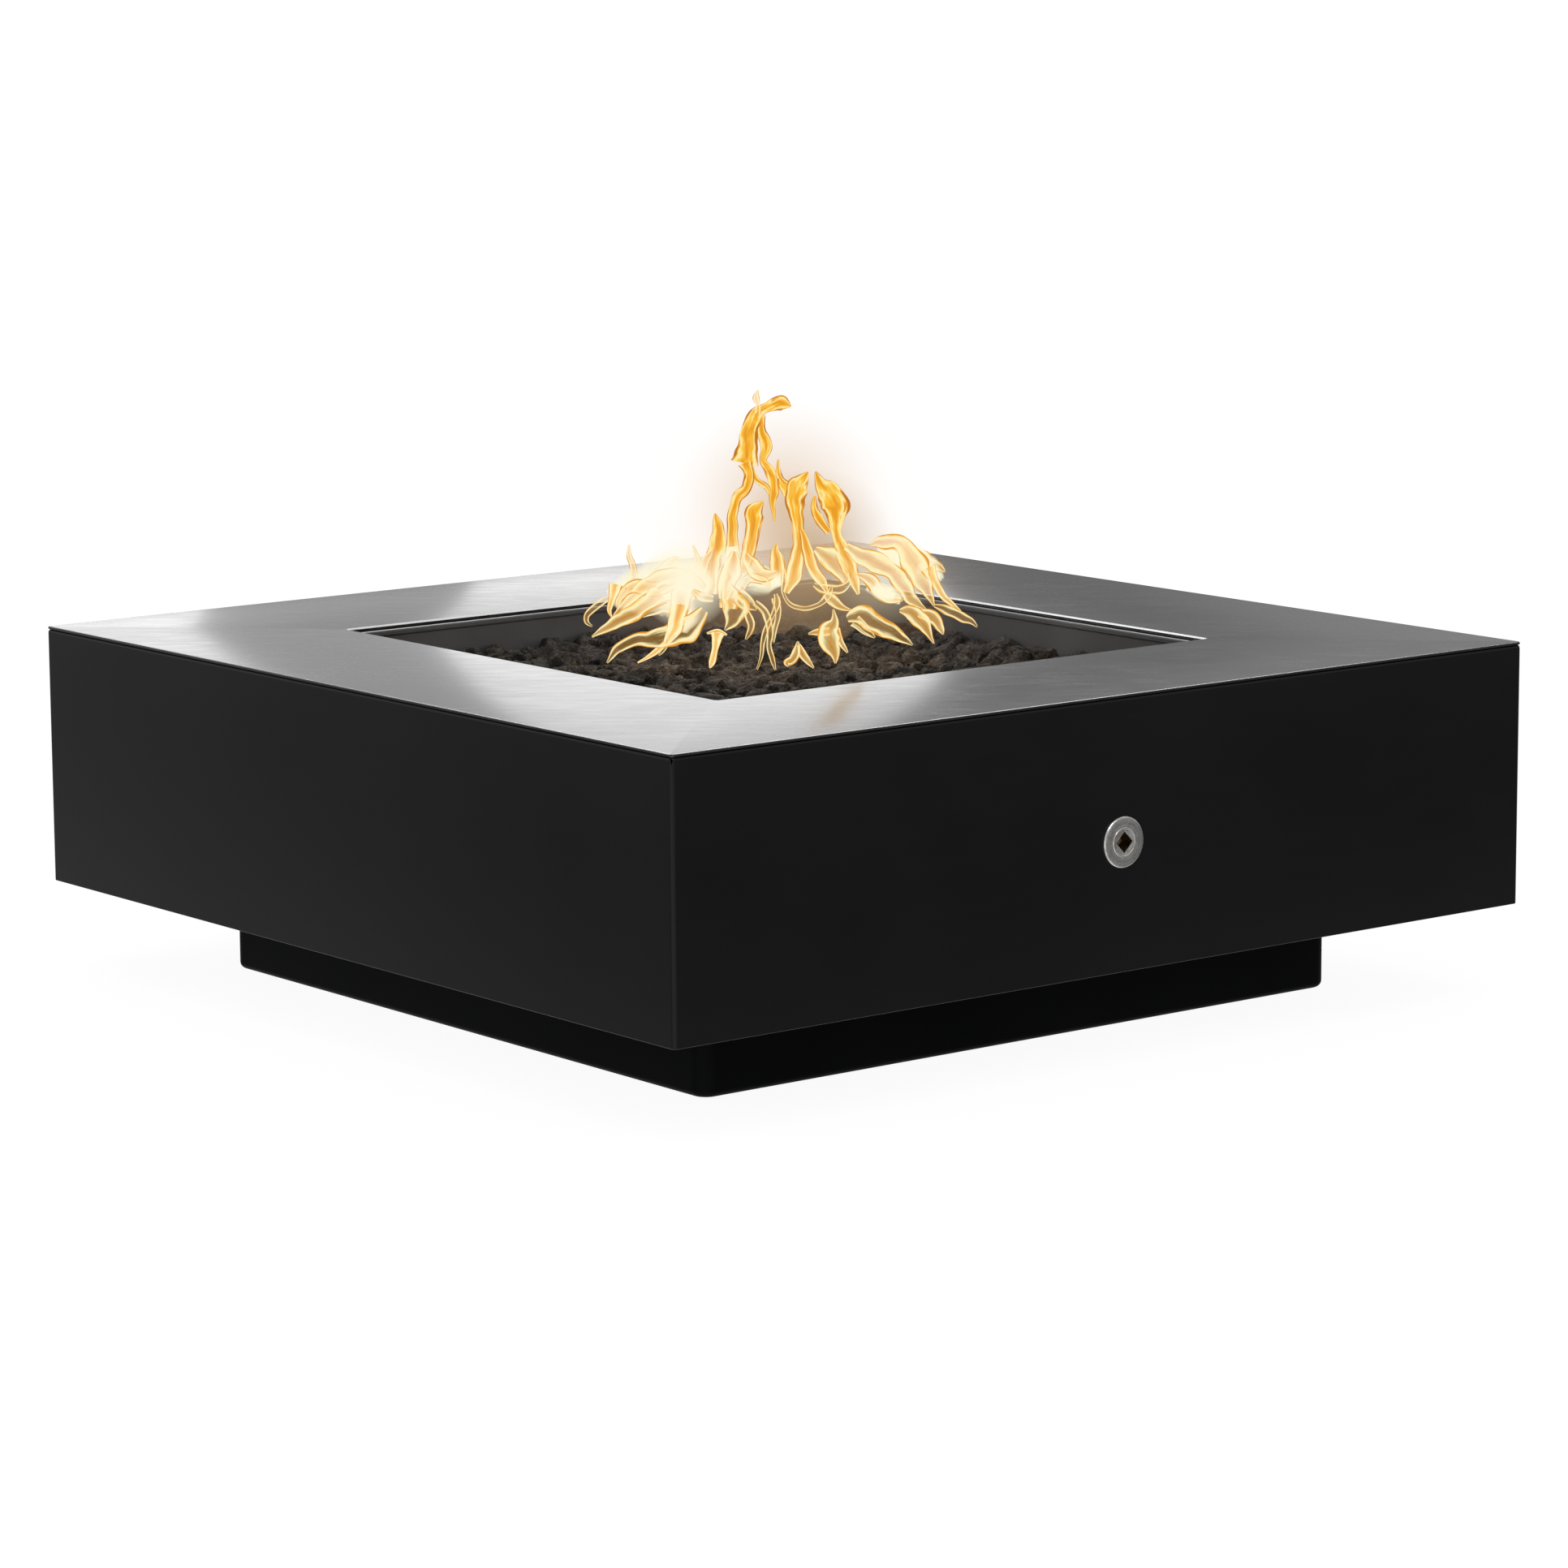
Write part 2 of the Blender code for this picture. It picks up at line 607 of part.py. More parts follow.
def build_burner(finish, parent):
    around, sides = 32, 8
    bore = RING_TUBE - TUBE_WALL
    flat = math.pi / around
    outer = add_object("burner_ring_outer", ring_bm(RING_RADIUS, RING_TUBE, around, sides, flat,
                       lift=BURNER_Z), finish, parent, smooth=50)
    cut(outer, add_object("ring_bore_cutter", ring_bm(RING_RADIUS, bore, around, sides, flat,
                          lift=BURNER_Z), finish, parent))
    reach = (RING_RADIUS - RING_TUBE) * math.cos(flat) - GAP
    inlet = rod_cutter("ring_inlet_cutter", bore - TUBE_WALL, -RING_RADIUS, RING_RADIUS, "X",
                       (0, 0, BURNER_Z), parent, finish, sides=8)
    cut(outer, inlet)
    cut(outer, port_cutter("ring_port_cutter", RING_RADIUS,
                           [math.tau * (spot + 0.5) / RING_PORTS for spot in range(RING_PORTS)],
                           finish, parent))

    bar = turned("burner_crossbar", tube_loops(RING_TUBE, bore, -reach, reach, 16), "X",
                 (0, 0, BURNER_Z), finish, parent)
    cut(bar, rod_cutter("bar_inlet_cutter", NIPPLE_BORE, -RING_TUBE - GAP, 0, "Z",
                        (0, 0, BURNER_Z), parent, finish, sides=12))
    half_bore = INNER_RING_TUBE - TUBE_WALL
    for hand, sign in (("left", -1), ("right", 1)):
        side_hole = rod_cutter(f"bar_side_{hand}_cutter", half_bore, -2 * RING_TUBE, 2 * RING_TUBE,
                               "Y", (sign * INNER_RING_RADIUS, 0, BURNER_Z), parent, finish, sides=8)
        cut(bar, side_hole)

    clear = RING_TUBE + GAP + INNER_RING_TUBE * RING_TUBE / INNER_RING_RADIUS + GAP
    start = math.asin(clear / INNER_RING_RADIUS)
    for hand, first in (("back", start), ("front", math.pi + start)):
        sweep = math.pi - 2 * start
        name = f"burner_ring_inner_{hand}"
        ring = add_object(name, ring_bm(INNER_RING_RADIUS, INNER_RING_TUBE, 14, sides, first, sweep,
                                        BURNER_Z), finish, parent, smooth=50)
        slack = math.radians(2)
        cut(ring, add_object(f"{name}_bore_cutter", ring_bm(
            INNER_RING_RADIUS, half_bore, 14, sides, first - slack, sweep + 2 * slack, BURNER_Z),
            finish, parent))
        angles = [first + sweep * (spot + 0.5) / INNER_PORTS for spot in range(INNER_PORTS)]
        cut(ring, port_cutter(f"{name}_port_cutter", INNER_RING_RADIUS, angles, finish, parent))

    top = BURNER_Z - RING_TUBE - GAP
    turned("burner_hub", tube_loops(NIPPLE_RADIUS + HUB_WALL, NIPPLE_RADIUS + GAP,
                                    PAN_FLOOR + GAP, top), "Z", (0, 0, 0), finish, parent)


def build_inlet(finishes, parent):
    """Nipple through the pan, its washer and locknut, and the air mixer."""
    steel, brass = finishes["bare_steel"], finishes["brass"]
    top = BURNER_Z - RING_TUBE - GAP
    washer_top = PAN_BOTTOM - GAP
    nut_top = washer_top - WASHER_SHEET - GAP
    mixer_top = nut_top - LOCKNUT_HEIGHT - GAP - WASHER_SHEET
    nipple_bottom = mixer_top - MIXER_SOCKET
    centre = (0, 0, 0)
    bore = NIPPLE_RADIUS + GAP
    turned("pan_nipple", tube_loops(NIPPLE_RADIUS, NIPPLE_BORE, nipple_bottom, top), "Z", centre,
           steel, parent)
    turned("pan_washer", tube_loops(WASHER_RADIUS, bore, washer_top - WASHER_SHEET, washer_top),
           "Z", centre, steel, parent)
    turned("pan_locknut", hex_ring_loops(LOCKNUT_FLATS, bore, nut_top - LOCKNUT_HEIGHT, nut_top),
           "Z", centre, brass, parent)
    socket = nipple_bottom - GAP
    shoulder = mixer_top - MIXER_LENGTH
    end = shoulder - FLARE_LENGTH
    loops = [circle_loop(MIXER_RADIUS, mixer_top), circle_loop(MIXER_RADIUS, shoulder),
             circle_loop(FLARE_RADIUS, shoulder), circle_loop(FLARE_RADIUS, end),
             circle_loop(FLARE_BORE, end), circle_loop(FLARE_BORE, socket),
             circle_loop(bore, socket), circle_loop(bore, mixer_top)]
    mixer = turned("air_mixer", loops, "Z", centre, brass, parent)
    middle = (socket + shoulder) / 2
    cut(mixer, rod_cutter("air_hole_cutter", AIR_HOLE_RADIUS, -2 * MIXER_RADIUS, 2 * MIXER_RADIUS,
                          "X", (0, 0, middle), parent, brass, sides=12))
    nut_start = shoulder - GAP
    turned("flare_nut_burner", hex_ring_loops(FLARE_NUT_FLATS, HOSE_RADIUS + GAP,
                                              nut_start - FLARE_NUT_LENGTH, nut_start),
           "Z", centre, brass, parent)
    return Vector((0, 0, end - GAP))


# Key valve

def build_valve(finishes, parent, spindle):
    brass, chrome, seal = finishes["brass"], finishes["chrome"], finishes["seal"]
    centre = Vector((0, VALVE_Y, VALVE_HEIGHT))
    neck_front = NECK_FRONT - VALVE_DEPTH
    cavity_left = SEAT_OFFSET + SEAT_THICKNESS + GAP

    body = turned("valve_body", [circle_loop(BODY_RADIUS, -BODY_LEFT), circle_loop(BODY_RADIUS,
                  BODY_RIGHT)], "X", centre, brass, parent, bored=False)
    cut(body, rod_cutter("neck_joiner", NECK_RADIUS, neck_front, 0, "Y", centre, parent, brass),
        "UNION")
    cut(body, rod_cutter("cavity_cutter", CAVITY_RADIUS, -cavity_left, BODY_RIGHT + SHEET, "X",
                         centre, parent, brass))
    cut(body, rod_cutter("body_bore_cutter", BALL_BORE, -BODY_LEFT - SHEET, 0, "X", centre,
                         parent, brass))
    cut(body, rod_cutter("adapter_room_cutter", ADAPTER_RADIUS, -BODY_LEFT - SHEET,
                         ADAPTER_DEPTH - BODY_LEFT, "X", centre, parent, brass))
    cut(body, rod_cutter("stem_room_cutter", STEM_RADIUS + GAP, neck_front - SHEET, 0, "Y", centre,
                         parent, brass))
    cut(body, rod_cutter("gland_room_cutter", GLAND_RADIUS, neck_front - SHEET,
                         neck_front + GLAND_DEPTH, "Y", centre, parent, brass))

    for hand, sign in (("inlet", -1), ("outlet", 1)):
        near, far = sign * SEAT_OFFSET, sign * (SEAT_OFFSET + SEAT_THICKNESS)
        turned(f"ball_seat_{hand}", tube_loops(CAVITY_RADIUS - GAP, SEAT_BORE, near, far, 16), "X",
               centre, seal, parent)

    arc = math.acos(BALL_BORE / BALL_RADIUS)
    profile = [(-arc + 2 * arc * step / 6) for step in range(7)]
    loops = [circle_loop(BALL_RADIUS * math.cos(angle), BALL_RADIUS * math.sin(angle), 20)
             for angle in profile]
    ball = turned("valve_ball", loops, "X", (0, 0, 0), chrome, spindle)
    pocket = [polygon_loop(TANG + 2 * GAP, 4, along, 8)
              for along in (-BALL_RADIUS - TANG, -BALL_RADIUS + TANG_DEPTH + GAP)]
    cut(ball, turned("tang_room_cutter", pocket, "Y", (0, 0, 0), chrome, spindle, bored=False))

    tip = STEM_TIP - VALVE_DEPTH
    square_end = STEM_SQUARE_END - VALVE_DEPTH
    shoulder = -BALL_RADIUS - GAP
    sides = 16
    loops = [polygon_loop(STEM_SQUARE, 4, tip, sides), polygon_loop(STEM_SQUARE, 4, square_end, sides),
             circle_loop(STEM_RADIUS, square_end + SHEET / 2, sides),
             circle_loop(STEM_RADIUS, shoulder, sides), polygon_loop(TANG, 4, shoulder, sides),
             polygon_loop(TANG, 4, -BALL_RADIUS + TANG_DEPTH, sides)]
    turned("valve_stem", loops, "Y", (0, 0, 0), brass, spindle, bored=False)

    packing_end = neck_front + GLAND_DEPTH - GAP
    packing_start = packing_end - PACKING_HEIGHT
    bore = STEM_RADIUS + GAP
    turned("stem_packing", tube_loops(GLAND_RADIUS - GAP, bore, packing_start, packing_end, 16),
           "Y", centre, seal, parent)
    nut_back = packing_start - GAP
    head_back = neck_front - GAP
    loops = [polygon_loop(GLAND_FLATS, 6, head_back - GLAND_HEAD), polygon_loop(GLAND_FLATS, 6, head_back),
             circle_loop(GLAND_RADIUS - GAP, head_back), circle_loop(GLAND_RADIUS - GAP, nut_back),
             circle_loop(bore, nut_back), circle_loop(bore, head_back - GLAND_HEAD)]
    turned("gland_nut", loops, "Y", centre, brass, parent)


def build_fittings(finishes, parent):
    """Supply adapter on the left of the valve, end cap and flare nut on its right."""
    brass = finishes["brass"]
    centre = Vector((0, VALVE_Y, VALVE_HEIGHT))
    face = -BODY_LEFT - GAP
    hex_end = face - FITTING_HEX
    loops = [circle_loop(FLARE_BORE, ADAPTER_DEPTH - BODY_LEFT - GAP),
             circle_loop(ADAPTER_RADIUS - GAP, ADAPTER_DEPTH - BODY_LEFT - GAP),
             circle_loop(ADAPTER_RADIUS - GAP, face), polygon_loop(ADAPTER_FLATS, 6, face),
             polygon_loop(ADAPTER_FLATS, 6, hex_end), circle_loop(FLARE_RADIUS, hex_end),
             circle_loop(FLARE_RADIUS, hex_end - FLARE_LENGTH),
             circle_loop(FLARE_BORE, hex_end - FLARE_LENGTH)]
    turned("supply_adapter", loops, "X", centre, brass, parent)

    face = BODY_RIGHT + GAP
    hex_end = face + FITTING_HEX
    spigot = SEAT_OFFSET + SEAT_THICKNESS + GAP
    end = hex_end + FLARE_LENGTH
    loops = [circle_loop(FLARE_BORE, spigot), circle_loop(CAVITY_RADIUS - GAP, spigot),
             circle_loop(CAVITY_RADIUS - GAP, face), polygon_loop(CAP_FLATS, 6, face),
             polygon_loop(CAP_FLATS, 6, hex_end), circle_loop(FLARE_RADIUS, hex_end),
             circle_loop(FLARE_RADIUS, end), circle_loop(FLARE_BORE, end)]
    turned("valve_end_cap", loops, "X", centre, brass, parent)
    nut_start = hex_end + GAP
    turned("flare_nut_valve", hex_ring_loops(FLARE_NUT_FLATS, HOSE_RADIUS + GAP, nut_start,
                                             nut_start + FLARE_NUT_LENGTH),
           "X", centre, brass, parent)
    return centre + Vector((end + GAP, 0, 0))


def build_trim(finishes, parent):
    """Sleeve through the front panel, its nut, and the round key plate."""
    place = (0, FRONT, VALVE_HEIGHT)
    bore = SLEEVE_RADIUS - SLEEVE_WALL
    turned("valve_sleeve", tube_loops(SLEEVE_RADIUS, bore, -SLEEVE_OUT, SLEEVE_END), "Y", place,
           finishes["brass"], parent)
    nut_front = SHEET + GAP
    turned("sleeve_locknut", hex_ring_loops(SLEEVE_NUT_FLATS, SLEEVE_RADIUS + GAP, nut_front,
                                            nut_front + SLEEVE_NUT_HEIGHT),
           "Y", place, finishes["brass"], parent)
    sides = 48
    face = -ESCUTCHEON_RISE
    pocket = -SLEEVE_OUT - GAP
    key = [polygon_loop(KEY_HOLE, 4, along, sides) for along in (pocket, face)]
    loops = [circle_loop(ESCUTCHEON_RADIUS, -GAP, sides),
             circle_loop(ESCUTCHEON_RADIUS, face + ESCUTCHEON_EDGE, sides),
             circle_loop(ESCUTCHEON_RADIUS - ESCUTCHEON_EDGE / 2, face + ESCUTCHEON_EDGE / 4, sides),
             circle_loop(ESCUTCHEON_RADIUS - ESCUTCHEON_EDGE, face, sides),
             circle_loop(KEY_RING_RADIUS + 2 * KEY_RING_DIP, face, sides),
             circle_loop(KEY_RING_RADIUS + KEY_RING_DIP, face + KEY_RING_DIP, sides),
             circle_loop(KEY_RING_RADIUS, face + KEY_RING_DIP, sides),
             circle_loop(KEY_RING_RADIUS - KEY_RING_DIP, face, sides),
             key[1], key[0],
             circle_loop(SLEEVE_RADIUS + GAP, pocket, sides),
             circle_loop(SLEEVE_RADIUS + GAP, -GAP, sides)]
    turned("key_escutcheon", loops, "Y", place, finishes["nickel"], parent)


def smooth_route(points, steps):
    """Points of one smooth curve through the given ones."""
    route = []
    for spot in range(len(points) - 1):
        before = points[max(spot - 1, 0)]
        start, end = points[spot], points[spot + 1]
        after = points[min(spot + 2, len(points) - 1)]
        for step in range(steps):
            part = step / steps
            route.append(0.5 * (2 * start + (end - before) * part
                                + (2 * before - 5 * start + 4 * end - after) * part ** 2
                                + (3 * start - before - 3 * end + after) * part ** 3))
    route.append(points[-1])
    return route


def build_connector(start, end, finish, parent):
    """Flexible gas line from the valve, sagging under the pan, up to the mixer."""
    lead = Vector((HOSE_STRAIGHT, 0, 0))
    drop = Vector((0, 0, -HOSE_STRAIGHT))
    valve_clear, mixer_clear = start.z - PANEL_TOP, end.z - PANEL_TOP
    points = [start, start + lead, start + 2 * lead]
    for across, inward, fall in HOSE_BEND:
        points.append(start + Vector((across, inward, -fall * valve_clear)))
    for across, part, fall in HOSE_SAG:
        points.append(Vector((across, start.y + part * (end.y - start.y), start.z - fall * valve_clear)))
    for across, short, fall in HOSE_RISE:
        points.append(Vector((across, end.y - short, end.z - fall * mixer_clear)))
    points += [end + 2 * drop, end + drop, end]
    curve = bpy.data.curves.new("gas_connector", "CURVE")
    curve.dimensions = "3D"
    curve.bevel_depth = HOSE_RADIUS
    curve.bevel_resolution = 2
    curve.use_fill_caps = True
    route = smooth_route(points, 3)
    line = curve.splines.new("POLY")
    line.points.add(len(route) - 1)
    for spot, point in zip(line.points, route):
        spot.co = (*point, 1)
    curve.materials.append(finish)
    made = bpy.data.objects.new("gas_connector", curve)
    bpy.context.scene.collection.objects.link(made)
    made.parent = parent


def main():
    clear_scene()
    finishes = {
        "powder_coat": material("powder_coat", (0.012, 0.012, 0.013), 0.40),
        "plinth_coat": material("plinth_coat", (0.006, 0.006, 0.007), 0.50),
        "pan_coat": material("pan_coat", (0.030, 0.030, 0.029), 0.55),
        "nickel": material("nickel", (0.62, 0.61, 0.58), 0.30, 1.0),
        "brass": material("brass", (0.60, 0.44, 0.20), 0.35, 1.0),
        "chrome": material("chrome", (0.75, 0.75, 0.76), 0.10, 1.0),
        "bare_steel": material("bare_steel", (0.42, 0.41, 0.40), 0.40, 1.0),
        "zinc": material("zinc", (0.55, 0.56, 0.58), 0.35, 1.0),
        "seal": material("seal", (0.82, 0.82, 0.80), 0.50),
        "connector": material("connector", (0.50, 0.50, 0.49), 0.35, 1.0),
        "lava_rock": material("lava_rock", (0.045, 0.035, 0.028), 0.90),
    }
    pit = empty("pit_frame", (0, BODY_SHIFT, 0))
    spindle = empty("valve_axis", (0, VALVE_Y, VALVE_HEIGHT), pit)

    build_deck(finishes["powder_coat"], pit)
    build_fascias(finishes["powder_coat"], pit)
    build_liners(finishes["powder_coat"], pit)
    build_ribs(finishes["powder_coat"], pit)
    panel = build_underside(finishes["plinth_coat"], pit)
    plinth = build_plinth(finishes["plinth_coat"], pit)
    build_bolts(panel, plinth, finishes["zinc"], pit)
    build_pan(finishes["pan_coat"], pit)
    build_rocks(finishes["lava_rock"], pit)
    build_burner(finishes["bare_steel"], pit)
    burner_end = build_inlet(finishes, pit)
    build_valve(finishes, pit, spindle)
    valve_end = build_fittings(finishes, pit)
    build_trim(finishes, pit)
    build_connector(valve_end, burner_end, finishes["connector"], pit)


main()
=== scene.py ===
import json
import math

import bmesh
import bpy
import numpy as np
from mathutils import Matrix, Vector, noise


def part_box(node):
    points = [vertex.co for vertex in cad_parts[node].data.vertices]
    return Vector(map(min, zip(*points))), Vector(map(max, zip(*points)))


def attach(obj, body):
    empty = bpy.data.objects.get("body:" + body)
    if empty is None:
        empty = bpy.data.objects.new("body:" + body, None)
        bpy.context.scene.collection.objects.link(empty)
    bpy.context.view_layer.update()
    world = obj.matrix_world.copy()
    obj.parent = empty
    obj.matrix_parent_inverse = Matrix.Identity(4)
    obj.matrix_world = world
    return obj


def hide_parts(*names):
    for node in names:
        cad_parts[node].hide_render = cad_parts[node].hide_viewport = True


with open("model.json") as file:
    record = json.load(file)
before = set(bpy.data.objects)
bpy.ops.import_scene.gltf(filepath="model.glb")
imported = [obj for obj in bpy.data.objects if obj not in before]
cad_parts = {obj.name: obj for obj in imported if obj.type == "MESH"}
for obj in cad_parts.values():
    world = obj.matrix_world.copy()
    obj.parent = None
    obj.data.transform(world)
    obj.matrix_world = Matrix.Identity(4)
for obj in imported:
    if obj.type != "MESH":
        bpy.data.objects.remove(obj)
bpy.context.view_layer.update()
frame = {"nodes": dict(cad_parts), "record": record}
nodes = frame["nodes"]
collection = bpy.context.scene.collection
sideNames = ("front", "right", "back", "left")


# Places taken from the frame

def cornersOf(node):
    return [Vector(corner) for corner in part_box(node)]


deckLow, deckHigh = cornersOf("deck_plate")
frontLow, frontHigh = cornersOf("fascia_front")
panLow = cornersOf("burner_pan")[0]
plinthLow, plinthHigh = cornersOf("plinth_front")
plateLow, plateHigh = cornersOf("key_escutcheon")
pitMiddle = (deckLow + deckHigh) / 2
halfDeck = (deckHigh.x - deckLow.x) / 2
deckTop = deckHigh.z
# the key plate's own axes: Z out of the front panel
platePlace = Matrix.Translation(((plateLow.x + plateHigh.x) / 2, deckLow.y, (plateLow.z + plateHigh.z) / 2))
platePlace = platePlace @ Matrix.Rotation(math.radians(90), 4, "X")
print("frame loaded:", len(nodes), "nodes")


# Shader nodes

class Wire:
    # a socket that takes part in Python sums
    def __init__(self, board, socket):
        self.board = board
        self.socket = socket

    def __add__(self, other):
        return self.board.sum("ADD", self, other)

    def __radd__(self, other):
        return self.board.sum("ADD", other, self)

    def __sub__(self, other):
        return self.board.sum("SUBTRACT", self, other)

    def __rsub__(self, other):
        return self.board.sum("SUBTRACT", other, self)

    def __mul__(self, other):
        return self.board.sum("MULTIPLY", self, other)

    def __rmul__(self, other):
        return self.board.sum("MULTIPLY", other, self)

    def __pow__(self, other):
        return self.board.sum("POWER", self, other)


class Board:
    # one node tree, with its few everyday nodes
    def __init__(self, owner):
        owner.use_nodes = True
        self.tree = owner.node_tree
        self.tree.nodes.clear()

    def node(self, kind, settings=None, sockets=None, out=0):
        made = self.tree.nodes.new(f"ShaderNode{kind}")
        for name, value in (settings or {}).items():
            if name == "stops":
                self.setStops(made.color_ramp, value)
            else:
                setattr(made, name, value)
        for name, value in (sockets or {}).items():
            if isinstance(value, Wire):
                self.tree.links.new(value.socket, made.inputs[name])
            else:
                made.inputs[name].default_value = value
        return Wire(self, made.outputs[out]) if made.outputs else made

    def setStops(self, ramp, stops):
        while len(ramp.elements) < len(stops):
            ramp.elements.new(0.5)
        for element, (place, colour) in zip(ramp.elements, stops):
            element.position = place
            element.color = (*colour, 1)

    def sum(self, operation, *values):
        return self.node("Math", {"operation": operation}, dict(enumerate(values)))

    def vector(self, operation, *values, out=0):
        return self.node("VectorMath", {"operation": operation}, dict(enumerate(values)), out)

    def place(self, scale=(1, 1, 1), turn=0):
        # position on the object, in metres, turned about the upright and then stretched
        where = self.node("TexCoord", out=3)
        return self.node("Mapping", {"vector_type": "TEXTURE"},
                         {"Vector": where, "Rotation": (0, 0, math.radians(turn)),
                          "Scale": tuple(1 / value for value in scale)})

    def noise(self, where, scale, detail=2.0, rough=0.5):
        return self.node("TexNoise", None,
                         {"Vector": where, "Scale": scale, "Detail": detail, "Roughness": rough})

    def pits(self, where, scale):
        return self.node("TexVoronoi", None, {"Vector": where, "Scale": scale})

    def spread(self, value, low, high, newLow=0.0, newHigh=1.0):
        return self.node("MapRange", None,
                         {"Value": value, "From Min": low, "From Max": high,
                          "To Min": newLow, "To Max": newHigh})

    def mixed(self, factor, first, second):
        return self.node("Mix", {"data_type": "RGBA"}, {0: factor, 6: first, 7: second}, out=2)

    def bump(self, height, distance):
        return self.node("Bump", None, {"Height": height, "Strength": 1.0, "Distance": distance})

    def surface(self, shader):
        self.node("OutputMaterial", None, {"Surface": shader})

    def solid(self, sockets):
        self.surface(self.node("BsdfPrincipled", None, sockets))

    def glowing(self, cover, colour):
        # gives light of its own, and is see-through where cover is low
        glow = self.node("Emission", None, {"Color": colour})
        clear = self.node("BsdfTransparent")
        self.surface(self.node("MixShader", None, {0: cover, 1: clear, 2: glow}))


def paint(r, g, b):
    return (r, g, b, 1.0)


def newMaterial(name):
    made = bpy.data.materials.new(name)
    return made, Board(made)


def powderCoat(name):
    # baked powder coat: orange-peel bump, fine grain along the sheet, slight change of gloss
    look = {**coatBasics, **coats[name]}
    made, board = newMaterial(name)
    where = board.place()
    along = board.place(look["grainStretch"], look["grainTurn"])
    grain = board.noise(along, look["grainScale"], 3.0, 0.5)
    cloud = board.noise(where, look["cloudScale"], 2.0)
    peel = board.noise(where, look["peelScale"], 1.0)
    gloss = look["roughness"] + look["grainGloss"] * (grain - 0.5) + look["cloudGloss"] * (cloud - 0.5)
    colour = board.mixed(board.spread(cloud, 0.3, 0.7), paint(*look["dark"]), paint(*look["light"]))
    height = peel * look["peelHeight"] + grain * look["grainHeight"]
    board.solid({
        "Base Color": colour, "Roughness": gloss, "IOR": look["ior"],
        "Coat Weight": look["coat"], "Coat Roughness": look["coatRoughness"],
        "Coat IOR": look["coatIor"], "Normal": board.bump(height, 0.001)})
    made.diffuse_color = paint(*look["light"])
    return made


def metal(name):
    # brushed or cast metal: fine scratches across one direction and a light tarnish
    look = {**metalBasics, **metals[name]}
    made, board = newMaterial(name)
    where = board.place()
    scratch = board.noise(board.place(look["scratchStretch"]), look["scratchScale"], 5.0, 0.65)
    tarnish = board.spread(board.noise(where, look["tarnishScale"], 4.0), 0.40, 0.75)
    colour = board.mixed(tarnish * look["tarnish"], paint(*look["colour"]), paint(*look["dull"]))
    gloss = look["roughness"] + look["scratchGloss"] * (scratch - 0.5) + 0.15 * tarnish * look["tarnish"]
    board.solid({
        "Base Color": colour, "Metallic": 1.0, "Roughness": gloss,
        "Normal": board.bump(scratch, look["scratchDepth"])})
    made.diffuse_color = paint(*look["colour"])
    return made


coatBasics = {"grainStretch": (2.0, 2.0, 9.0), "grainScale": 6.0, "grainTurn": 0, "grainHeight": 0.02,
              "peelScale": 620.0, "coat": 0.0, "coatRoughness": 0.2, "coatIor": 1.3}
coats = {
    "deckPowderCoat": {
        "dark": (0.010, 0.010, 0.0105), "light": (0.014, 0.014, 0.0145),
        "roughness": 0.25, "grainGloss": 0.16, "cloudGloss": 0.10,
        "grainStretch": (22.0, 75.0, 75.0), "grainTurn": -38.0, "grainScale": 1.0, "cloudScale": 7.0,
        "peelHeight": 0.010, "grainHeight": 0.05, "ior": 1.5,
        "coat": 0.35, "coatRoughness": 0.17, "coatIor": 1.5},
    "boxPowderCoat": {
        "dark": (0.0036, 0.0036, 0.0036), "light": (0.0050, 0.0050, 0.0050),
        "roughness": 0.36, "grainGloss": 0.06, "cloudGloss": 0.08,
        "cloudScale": 4.0, "peelHeight": 0.030, "ior": 1.33},
    "plinthPowderCoat": {
        "dark": (0.0028, 0.0030, 0.0034), "light": (0.0042, 0.0044, 0.0050),
        "roughness": 0.50, "grainGloss": 0.05, "cloudGloss": 0.08,
        "cloudScale": 5.0, "peelHeight": 0.035, "ior": 1.12},
    "panHeatCoat": {
        "dark": (0.080, 0.084, 0.091), "light": (0.108, 0.113, 0.122),
        "roughness": 0.36, "grainGloss": 0.10, "cloudGloss": 0.10,
        "grainStretch": (3.0, 3.0, 30.0), "grainScale": 3.0, "cloudScale": 9.0,
        "peelScale": 500.0, "peelHeight": 0.040, "ior": 1.45},
}

metalBasics = {"scratchStretch": (1.0, 1.0, 1.0), "scratchDepth": 0.0001}
metals = {
    "yellowBrass": {
        "colour": (0.34, 0.26, 0.13), "dull": (0.11, 0.085, 0.05), "roughness": 0.34,
        "scratchGloss": 0.16, "scratchStretch": (1.0, 1.0, 5.0), "scratchScale": 300.0,
        "tarnish": 0.6, "tarnishScale": 90.0},
    "zincPlate": {
        "colour": (0.55, 0.56, 0.58), "dull": (0.34, 0.34, 0.33), "roughness": 0.36,
        "scratchGloss": 0.14, "scratchScale": 400.0, "tarnish": 0.7, "tarnishScale": 220.0},
    "bareSteel": {
        "colour": (0.15, 0.13, 0.115), "dull": (0.05, 0.042, 0.036), "roughness": 0.52,
        "scratchGloss": 0.18, "scratchScale": 260.0, "tarnish": 0.9, "tarnishScale": 35.0},
    "chromedBrass": {
        "colour": (0.76, 0.76, 0.77), "dull": (0.60, 0.60, 0.61), "roughness": 0.09,
        "scratchGloss": 0.04, "scratchScale": 500.0, "scratchDepth": 0.00002,
        "tarnish": 0.2, "tarnishScale": 60.0},
    "stainlessSteel": {
        "colour": (0.52, 0.52, 0.51), "dull": (0.38, 0.37, 0.36), "roughness": 0.30,
        "scratchGloss": 0.12, "scratchScale": 350.0, "scratchDepth": 0.00008,
        "tarnish": 0.4, "tarnishScale": 50.0},
}


